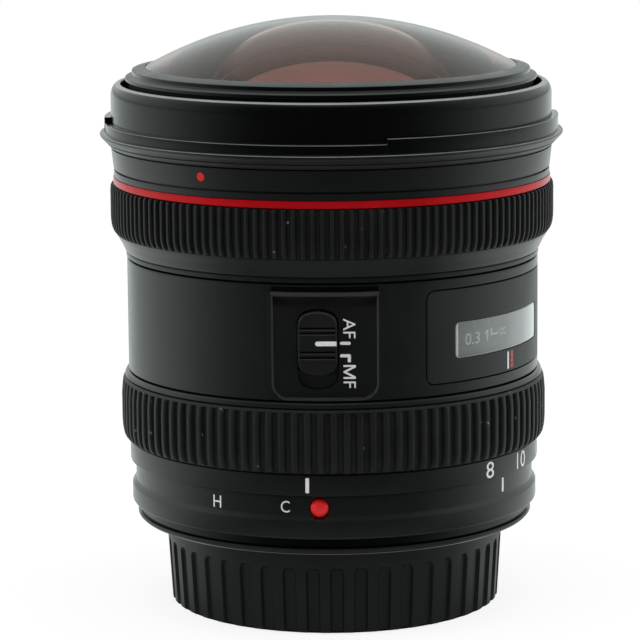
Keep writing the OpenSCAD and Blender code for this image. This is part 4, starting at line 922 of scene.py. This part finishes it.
def front_finish(face, r, angle, z):
    """Painted highlights on the edges of rim, ledge and flange, a duller cone below and black above."""
    into = float(from_angle(angle, A_LUG) % 180)
    ledge_top = Z_LUG_TOP if 0.1 < into < LUG_SWEEP - 0.1 else Z_LEDGE
    if Z_FRONT + 0.06 < z < Z_EDGE - 0.15 and r > R_NAME + 0.3:
        return 4
    if z > Z_WALL_TOP - 0.25 and r > WALL_BORE - 0.2:
        return 3
    if abs(z - ledge_top) < 0.13 and r > R_HOOD - 0.2:
        return 2
    if abs(z - Z_EDGE_TOP + 0.05) < 0.1 and r > R_FLANGE - 0.3:
        return 2
    return z > Z_EDGE_TOP + 0.14


rim = [(R_WALL - RIM_W + RIM_W * math.cos(t), Z_WALL_TOP - RIM_H + RIM_H * math.sin(t), 0)
       for t in np.linspace(0, math.pi / 2, 14)]
flange = [(R_NAME + 0.4, Z_FRONT, 0.05), (38.1, 79.26, 0.04), (37.98, 79.36, 0.03), (38.28, 79.46, 0.04),
          (R_FLANGE - 0.12, Z_EDGE, 0.35), (R_FLANGE, Z_EDGE + 0.3, 0.15),
          (R_FLANGE - 0.12, Z_EDGE_TOP - 0.05, 0.15)]
hood_seat = [(R_HOOD, Z_EDGE_TOP + 0.12, 0.03), (R_HOOD, Z_EDGE_TOP + 0.35, 0), (R_HOOD, Z_LEDGE, 0.12),
             (R_WALL + 0.06, Z_LEDGE, 0), (R_WALL, Z_LEDGE + 0.08, 0), (R_WALL, Z_LUG_TOP + 0.05, 0),
             (R_WALL, Z_LUG_TOP + 1, 0)]
inner_steps = [(WALL_BORE, Z_WALL_TOP, 0.25), (WALL_BORE, Z_EDGE), (34.8, Z_EDGE), (34.8, 75.33),
               (32.6, 75.33), (32.6, 64.1), (27.9, 64.1)]
outer_steps = [(27.9, 62.5), (33.9, 62.5), (33.9, 72.15), (36.2, 72.15), (36.2, Z_FRONT)]
front_outline = soften(outer_steps + flange + hood_seat + rim + inner_steps, radius=0.1)
lug_ends = [A_LUG + turn + end for turn in (0, 180) for end in (0, LUG_SWEEP)]
lug_columns = np.array(lug_ends)[:, None] + [-0.15, -0.05, 0.0, 0.04, 0.08, 0.12, 0.2, -0.04, -0.08, -0.12]
front_wall = turned("front_wall", front_outline, paint, "front_barrel", shape=hood_lugs,
                    angles=lines(lug_columns.ravel() % 360, EVEN, gap=0.03))
dress(front_wall, [wall_paint, painted_edge_highlight, painted_rim_highlight, cone_paint], front_finish)

# Front glass: retaining ring, the dome and the second element under it

RING_BORE = 32.5
RING_IN = 31.4
RING_CREST = 33.65
RING_OUT = 34.8


def dome_level(r):
    """Height of the dome's outer face at a radius."""
    return Z_APEX - DOME_SPHERE + math.sqrt(DOME_SPHERE ** 2 - r ** 2)


def lens_outline(radius, z_top, sphere, thick, hollow, z_back):
    """Outline of a glass element with a domed front and a hollow back."""
    front = np.linspace(0, math.asin(radius / sphere), 40)
    z_centre, z_hollow = z_top - sphere, z_top - thick - hollow
    mouth = math.acos((z_back - z_hollow) / hollow)
    back = np.linspace(mouth, 0, 36)
    points = [(hollow * math.sin(t), z_hollow + hollow * math.cos(t)) for t in back]
    points += [(sphere * math.sin(t), z_centre + sphere * math.cos(t)) for t in front]
    return np.array(points + [(radius, z_back)])


z_ring_foot = dome_level(R_DOME) - 1.55
z_ring_lip = dome_level(RING_IN) + 0.05
z_ring_crest = z_ring_lip - 0.45
z_ring_shelf = z_ring_crest - 0.75
ring_outline = soften([
    (RING_BORE, z_ring_foot), (RING_OUT, z_ring_foot), (RING_OUT, z_ring_shelf - 0.45, 0.12),
    (RING_CREST + 0.08, z_ring_shelf, 0.04), (RING_CREST, z_ring_shelf + 0.08, 0.04),
    (RING_CREST, z_ring_crest, 0.12), (RING_IN, z_ring_lip + 0.1, 0.03), (RING_IN, z_ring_lip, 0),
    (RING_BORE, dome_level(R_DOME), 0)], 0.08)
retaining_ring = turned("retaining_ring", ring_outline, cone_paint, "front_retaining_ring",
                        "front_group")
# Painted shade: the ring's upright faces take the darker wall paint.
dress(retaining_ring, [wall_paint], lambda face, r, angle, z: abs(face.normal.z) < 0.3)

Z_DOME_BACK = 79.7
Z_SECOND_SEAT = 72.05
R_SECOND = 25.9
dome_outline = lens_outline(R_DOME, Z_APEX, DOME_SPHERE, 4.0, 24.0, Z_DOME_BACK)
second_outline = lens_outline(R_SECOND, Z_SECOND_SEAT + 8.8, 130.0, 3.5, 22.0, Z_SECOND_SEAT + 0.05)
turned("front_dome", dome_outline, dome_glass, "front_element", "front_group", "optical_glass")
turned("inner_dome", second_outline, coated_glass, "second_element", "front_group", "optical_glass")


# Marks: lettering and bars with a little thickness, wrapped on what carries them

INK = 0.03
INK_ROOT = -0.05
STRIP = 0.35


def wrap(mesh, lay):
    """Cuts a flat mark into strips and carries each point (x, z, height) to its place."""
    work = bmesh.new()
    work.from_mesh(mesh)
    xs = [v.co.x for v in work.verts]
    for x in np.arange(min(xs) + STRIP, max(xs), STRIP):
        geometry = list(work.verts) + list(work.edges) + list(work.faces)
        bmesh.ops.bisect_plane(work, geom=geometry, plane_co=(float(x), 0, 0), plane_no=(1, 0, 0))
    for v in work.verts:
        v.co = lay(v.co.x, v.co.y, v.co.z)
    work.to_mesh(mesh)
    work.free()
    finish_mesh(mesh, 30)


def about(radius, angle, z0):
    """Wraps a flat mark on a cylinder, its middle at an angle and height."""
    return lambda x, z, out: place(radius + out, angle + math.degrees(x / radius), z0 + z)


def on_panel(x0, z0, d=SWITCH_FLOOR):
    """Lays a flat mark on the switch panel."""
    return lambda x, z, out: on_switch(z0 + z, x0 + x, d + out)


def lettering(name, text, height, lay, material=white_ink, body="barrel", turns=0, narrow=1.0):
    """Raised lettering of the given height in the built-in font."""
    curve = bpy.data.curves.new(name, "FONT")
    curve.body = text
    curve.extrude = 0.5
    curve.resolution_u = 4
    source = linked(name + "_source", curve)
    graph = bpy.context.evaluated_depsgraph_get()
    mesh = bpy.data.meshes.new_from_object(source.evaluated_get(graph))
    bpy.data.objects.remove(source)
    points = np.array([v.co for v in mesh.vertices])
    low, high = points.min(0), points.max(0)
    flat = (points - (low + high) / 2) * height / (high[1] - low[1])
    flat[:, 0] *= narrow
    flat[:, 2] = np.where(points[:, 2] > 0, INK, INK_ROOT)
    for _ in range(turns):
        flat = np.stack([flat[:, 1], -flat[:, 0], flat[:, 2]], axis=1)
    mesh.vertices.foreach_set("co", flat.ravel())
    wrap(mesh, lay)
    add(name, mesh, material, body)


def mark(name, outline, lay, material=white_ink, body="barrel"):
    """A raised mark from the corners of its outline."""
    n = len(outline)
    points = [(x, z, h) for h in (INK_ROOT, INK) for x, z in np.asarray(outline, float)]
    faces = [list(range(n))[::-1], list(range(n, 2 * n))]
    faces += [[k, (k + 1) % n, (k + 1) % n + n, k + n] for k in range(n)]
    mesh = bpy.data.meshes.new(name)
    mesh.from_pydata(points, [], faces)
    wrap(mesh, lay)
    add(name, mesh, material, body)


def bar(w, h, corner):
    """Outline of a bar with round corners."""
    return round_loop(-w / 2, w / 2, -h / 2, h / 2, corner, 0, 0, 5)


def arc(radius, first, last):
    """Points of an arc about the middle, every 15 degrees."""
    turn = np.radians(np.arange(first, last, 15))
    return np.stack([radius * np.cos(turn), radius * np.sin(turn)], axis=1)


lettering("mark_h", "H", 2.05, about(R_BAND, -34.4, 22.68), narrow=0.9)
lettering("mark_c", "C", 1.95, about(R_BAND, -13.6, 22.8), narrow=0.87)
mark("zoom_index", bar(0.55, 2.4, 0.1), about(R_BAND, 55.7, 23.1))
mark("range_index", bar(0.6, 2.5, 0.12), about(R_SLEEVE, -7.2, 26.62), body="zoom_ring")
for text, angle in (("8", 47.7), ("10", 64.0), ("12", 81.0), ("14", 92.5), ("15", 100.5)):
    lettering("zoom_" + text, text, 2.78, about(R_SLEEVE, angle, 26.55), body="zoom_ring", narrow=1.12)

LABEL = 1.98
M_OUTLINE = [(0, 0), (0, 2.0), (0.38, 2.0), (1.14, 0.5), (1.9, 2.0), (2.28, 2.0), (2.28, 0), (1.97, 0),
             (1.97, 1.45), (1.25, 0.0), (1.03, 0.0), (0.31, 1.45), (0.31, 0)]
HOOK = [(-0.87, 0.4), (-0.75, 0.52), (0.7, 0.52), (0.87, 0.35), (0.87, -0.72), (0.8, -0.8), (0.42, -0.8),
        (0.35, -0.72), (0.35, 0.0), (-0.75, 0.0), (-0.87, 0.12)]
lettering("label_af", "AF", LABEL, on_panel(3.7, 52.3), turns=1)
mark("label_m", [(v - 1.0, 1.14 - u) for u, v in M_OUTLINE], on_panel(3.7, 45.15))
lettering("label_f", "F", LABEL, on_panel(3.7, 43.05), turns=1)
mark("tick_af", bar(1.75, 0.52, 0.25), on_panel(3.04, 49.86))
mark("tick_mf", HOOK, on_panel(3.05, 47.55))
knob_line = [*(arc(0.38, 90, 271) - [3.2, 0]), (-0.12, -0.38), (-0.12, 0.38)]
mark("knob_mark", knob_line, on_panel(SLOT_X + KNOB_W / 2, KNOB_MID, KNOB_TOP), body="af_switch")

DIGIT_ONE = [(-0.17, -0.95), (0.17, -0.95), (0.17, 0.95), (-0.1, 0.95), (-0.6, 0.55), (-0.6, 0.25),
             (-0.17, 0.5)]
mark("focus_index", bar(0.45, 2.9, 0.06), about(R_BARREL, 55.95, 44.3))
for k, (low, high) in enumerate(((42.95, 43.55), (43.7, 44.5), (44.65, 45.75)), 1):
    mark("infrared_index_%d" % k, bar(0.85, high - low, 0.06),
         about(R_BARREL, 57.95, (low + high) / 2), pale_red_ink)
lettering("focus_03", "0.3", 1.95, about(R_DRUM, 43.0, 48.9), faint_ink, "focus_output", narrow=1.08)
mark("focus_1", DIGIT_ONE, about(R_DRUM, 49.25, 48.95), faint_ink, "focus_output")
mark("focus_t_bar", bar(0.38, 1.2, 0.05), about(R_DRUM, 51.0, 49.35), faint_ink, "focus_output")
mark("focus_t_arm", bar(1.9, 0.38, 0.05), about(R_DRUM, 52.6, 48.95), faint_ink, "focus_output")
lettering("focus_far", "∞", 1.35, about(R_DRUM, 57.1, 49.05), faint_ink, "focus_output", narrow=0.72)
for k, angle in enumerate((43.6, 49.6), 1):
    mark("focus_tick_%d" % k, bar(0.32, 1.1, 0.05), about(R_DRUM, angle, 51.35), green_ink, "focus_output")
name_slope = NAME_FLARE / 3.25
mark("hood_index", arc(0.72, 0, 360),
     lambda x, z, out: about(R_NAME + 0.2 + name_slope * z, -34.6, 76.75)(x, z, out), red_ink)

# Camera at the photograph's viewing point

IMAGE = 640
FOCAL_PX = 3392.94
SHIFT_PX = -12.885
CAMERA_AT = (0, -0.572928, 0.146952)
CAMERA_DOWN = 9.81
CAMERA_ROLL = -0.46
camera_data = bpy.data.cameras.new("camera")
camera_data.sensor_width = 36.0
camera_data.lens = FOCAL_PX / IMAGE * camera_data.sensor_width
camera_data.shift_x = SHIFT_PX / IMAGE
camera_data.clip_start = 0.01
camera = linked("camera", camera_data)
tilt = Matrix.Rotation(math.radians(90 - CAMERA_DOWN), 4, "X")
roll = Matrix.Rotation(math.radians(CAMERA_ROLL), 4, "Z")
camera.matrix_world = Matrix.Translation(CAMERA_AT) @ tilt @ roll
scene.camera = camera

# Studio: white surroundings, darker towards the camera, soft lamps and a pale floor

COOL = (0.92, 1.0, 0.985, 1)
SURROUND = [(0.0, 0.03), (0.12, 0.07), (0.25, 0.25), (0.41, 0.6), (0.5, 0.78), (0.62, 0.87), (0.85, 0.87),
            (0.94, 1.0)]
world = bpy.data.worlds.new("studio")
scene.world = world
world.use_nodes = True
tree = world.node_tree
ray = node(tree, "LightPath")
axes = node(tree, "SeparateXYZ", {"Vector": node(tree, "TexCoord")["Generated"]})
lean = node(tree, "Math", {0: axes["Z"], 1: -0.35, 2: axes["Y"]}, operation="MULTIPLY_ADD")["Value"]
horizon = ramp(tree, axes["Z"], (0.0, 0.55), (0.16, 1.0))
overhead = ramp(tree, axes["Z"], (0.9, 0.0), (0.97, 0.9))
mirrored = mix(tree, both_ways(tree, lean, *SURROUND), horizon, kind="MULTIPLY")
mirrored = mix(tree, mix(tree, mirrored, overhead, kind="LIGHTEN"), COOL, kind="MULTIPLY")
through = both_ways(tree, axes["Y"], (0.84, 1.0), (0.98, 0.45))
seen = mix(tree, 0.55, mirrored, ray["Is Glossy Ray"])
seen = mix(tree, seen, through, ray["Is Transmission Ray"])
seen = mix(tree, seen, 1.0, ray["Is Camera Ray"])
fill(tree, tree.nodes["Background"], {"Color": seen})


def lamp(name, size, watts, location, turn):
    """A soft square lamp, turned from facing straight down."""
    data = bpy.data.lights.new(name, "AREA")
    data.shape = "SQUARE"
    data.size = size
    data.energy = watts
    made = linked(name, data)
    made.location = location
    made.rotation_euler = [math.radians(t) for t in turn]
    made.visible_glossy = False
    made.visible_transmission = False


lamp("lamp_top", 0.9, 9.0, (0.0, -0.1, 1.1), (0, 0, 0))
lamp("lamp_left", 0.7, 5.0, (-0.95, -0.1, 0.4), (0, -72, 0))
lamp("lamp_right", 0.7, 5.0, (0.95, 0.1, 0.4), (0, 72, 0))


def glow(colour):
    """An emission of strength 1."""
    return node(tree, "Emission", {"Color": colour})["Emission"]


def blend(factor, first, second):
    """Mixes two shaders by a factor."""
    return node(tree, "MixShader", {0: factor, 1: first, 2: second})["Shader"]


floor_mesh = bpy.data.meshes.new("floor")
floor_mesh.from_pydata([(-3, -2, 0), (3, -2, 0), (3, 4, 0), (-3, 4, 0)], [], [(0, 1, 2, 3)])
floor_object = linked("floor", floor_mesh)
floor_object.location.z = -0.0002
floor_material, tree, shader = new_material("pale_floor")
fill(tree, shader, {"Base Color": (0.9, 0.9, 0.9, 1), "Roughness": 0.9, "Specular IOR Level": 0.0})
ray = node(tree, "LightPath")
spot = node(tree, "NewGeometry")["Position"]
heading = node(tree, "VectorMath", {0: spot}, operation="NORMALIZE")["Vector"]
distance = node(tree, "VectorMath", {0: spot}, operation="LENGTH")["Value"]
around = both_ways(tree, node(tree, "SeparateXYZ", {"Vector": heading})["Y"], *SURROUND)
# For reflected rays the floor glows as painted light: the surroundings' gradient with a pool of light near
# the lens, and a flat grey glow for refracted rays.
near = ramp(tree, distance, (0.05, 0.22), (0.14, 0.0))
mirrored = mix(tree, mix(tree, around, near, kind="LIGHTEN"), COOL, kind="MULTIPLY")
plain = ramp(tree, distance, (0.2, 0.86), (0.5, 1.0))
white = node(tree, "Math", {0: ray["Is Camera Ray"], 1: plain}, operation="MULTIPLY")["Value"]
surface = blend(white, shader.outputs["BSDF"], glow((1, 1, 1, 1)))
surface = blend(ray["Is Glossy Ray"], surface, glow(mirrored))
surface = blend(ray["Is Transmission Ray"], surface, glow((0.45, 0.45, 0.45, 1)))
fill(tree, tree.nodes["Material Output"], {"Surface": surface})
floor_mesh.materials.append(floor_material)

scene.view_settings.view_transform = "Standard"
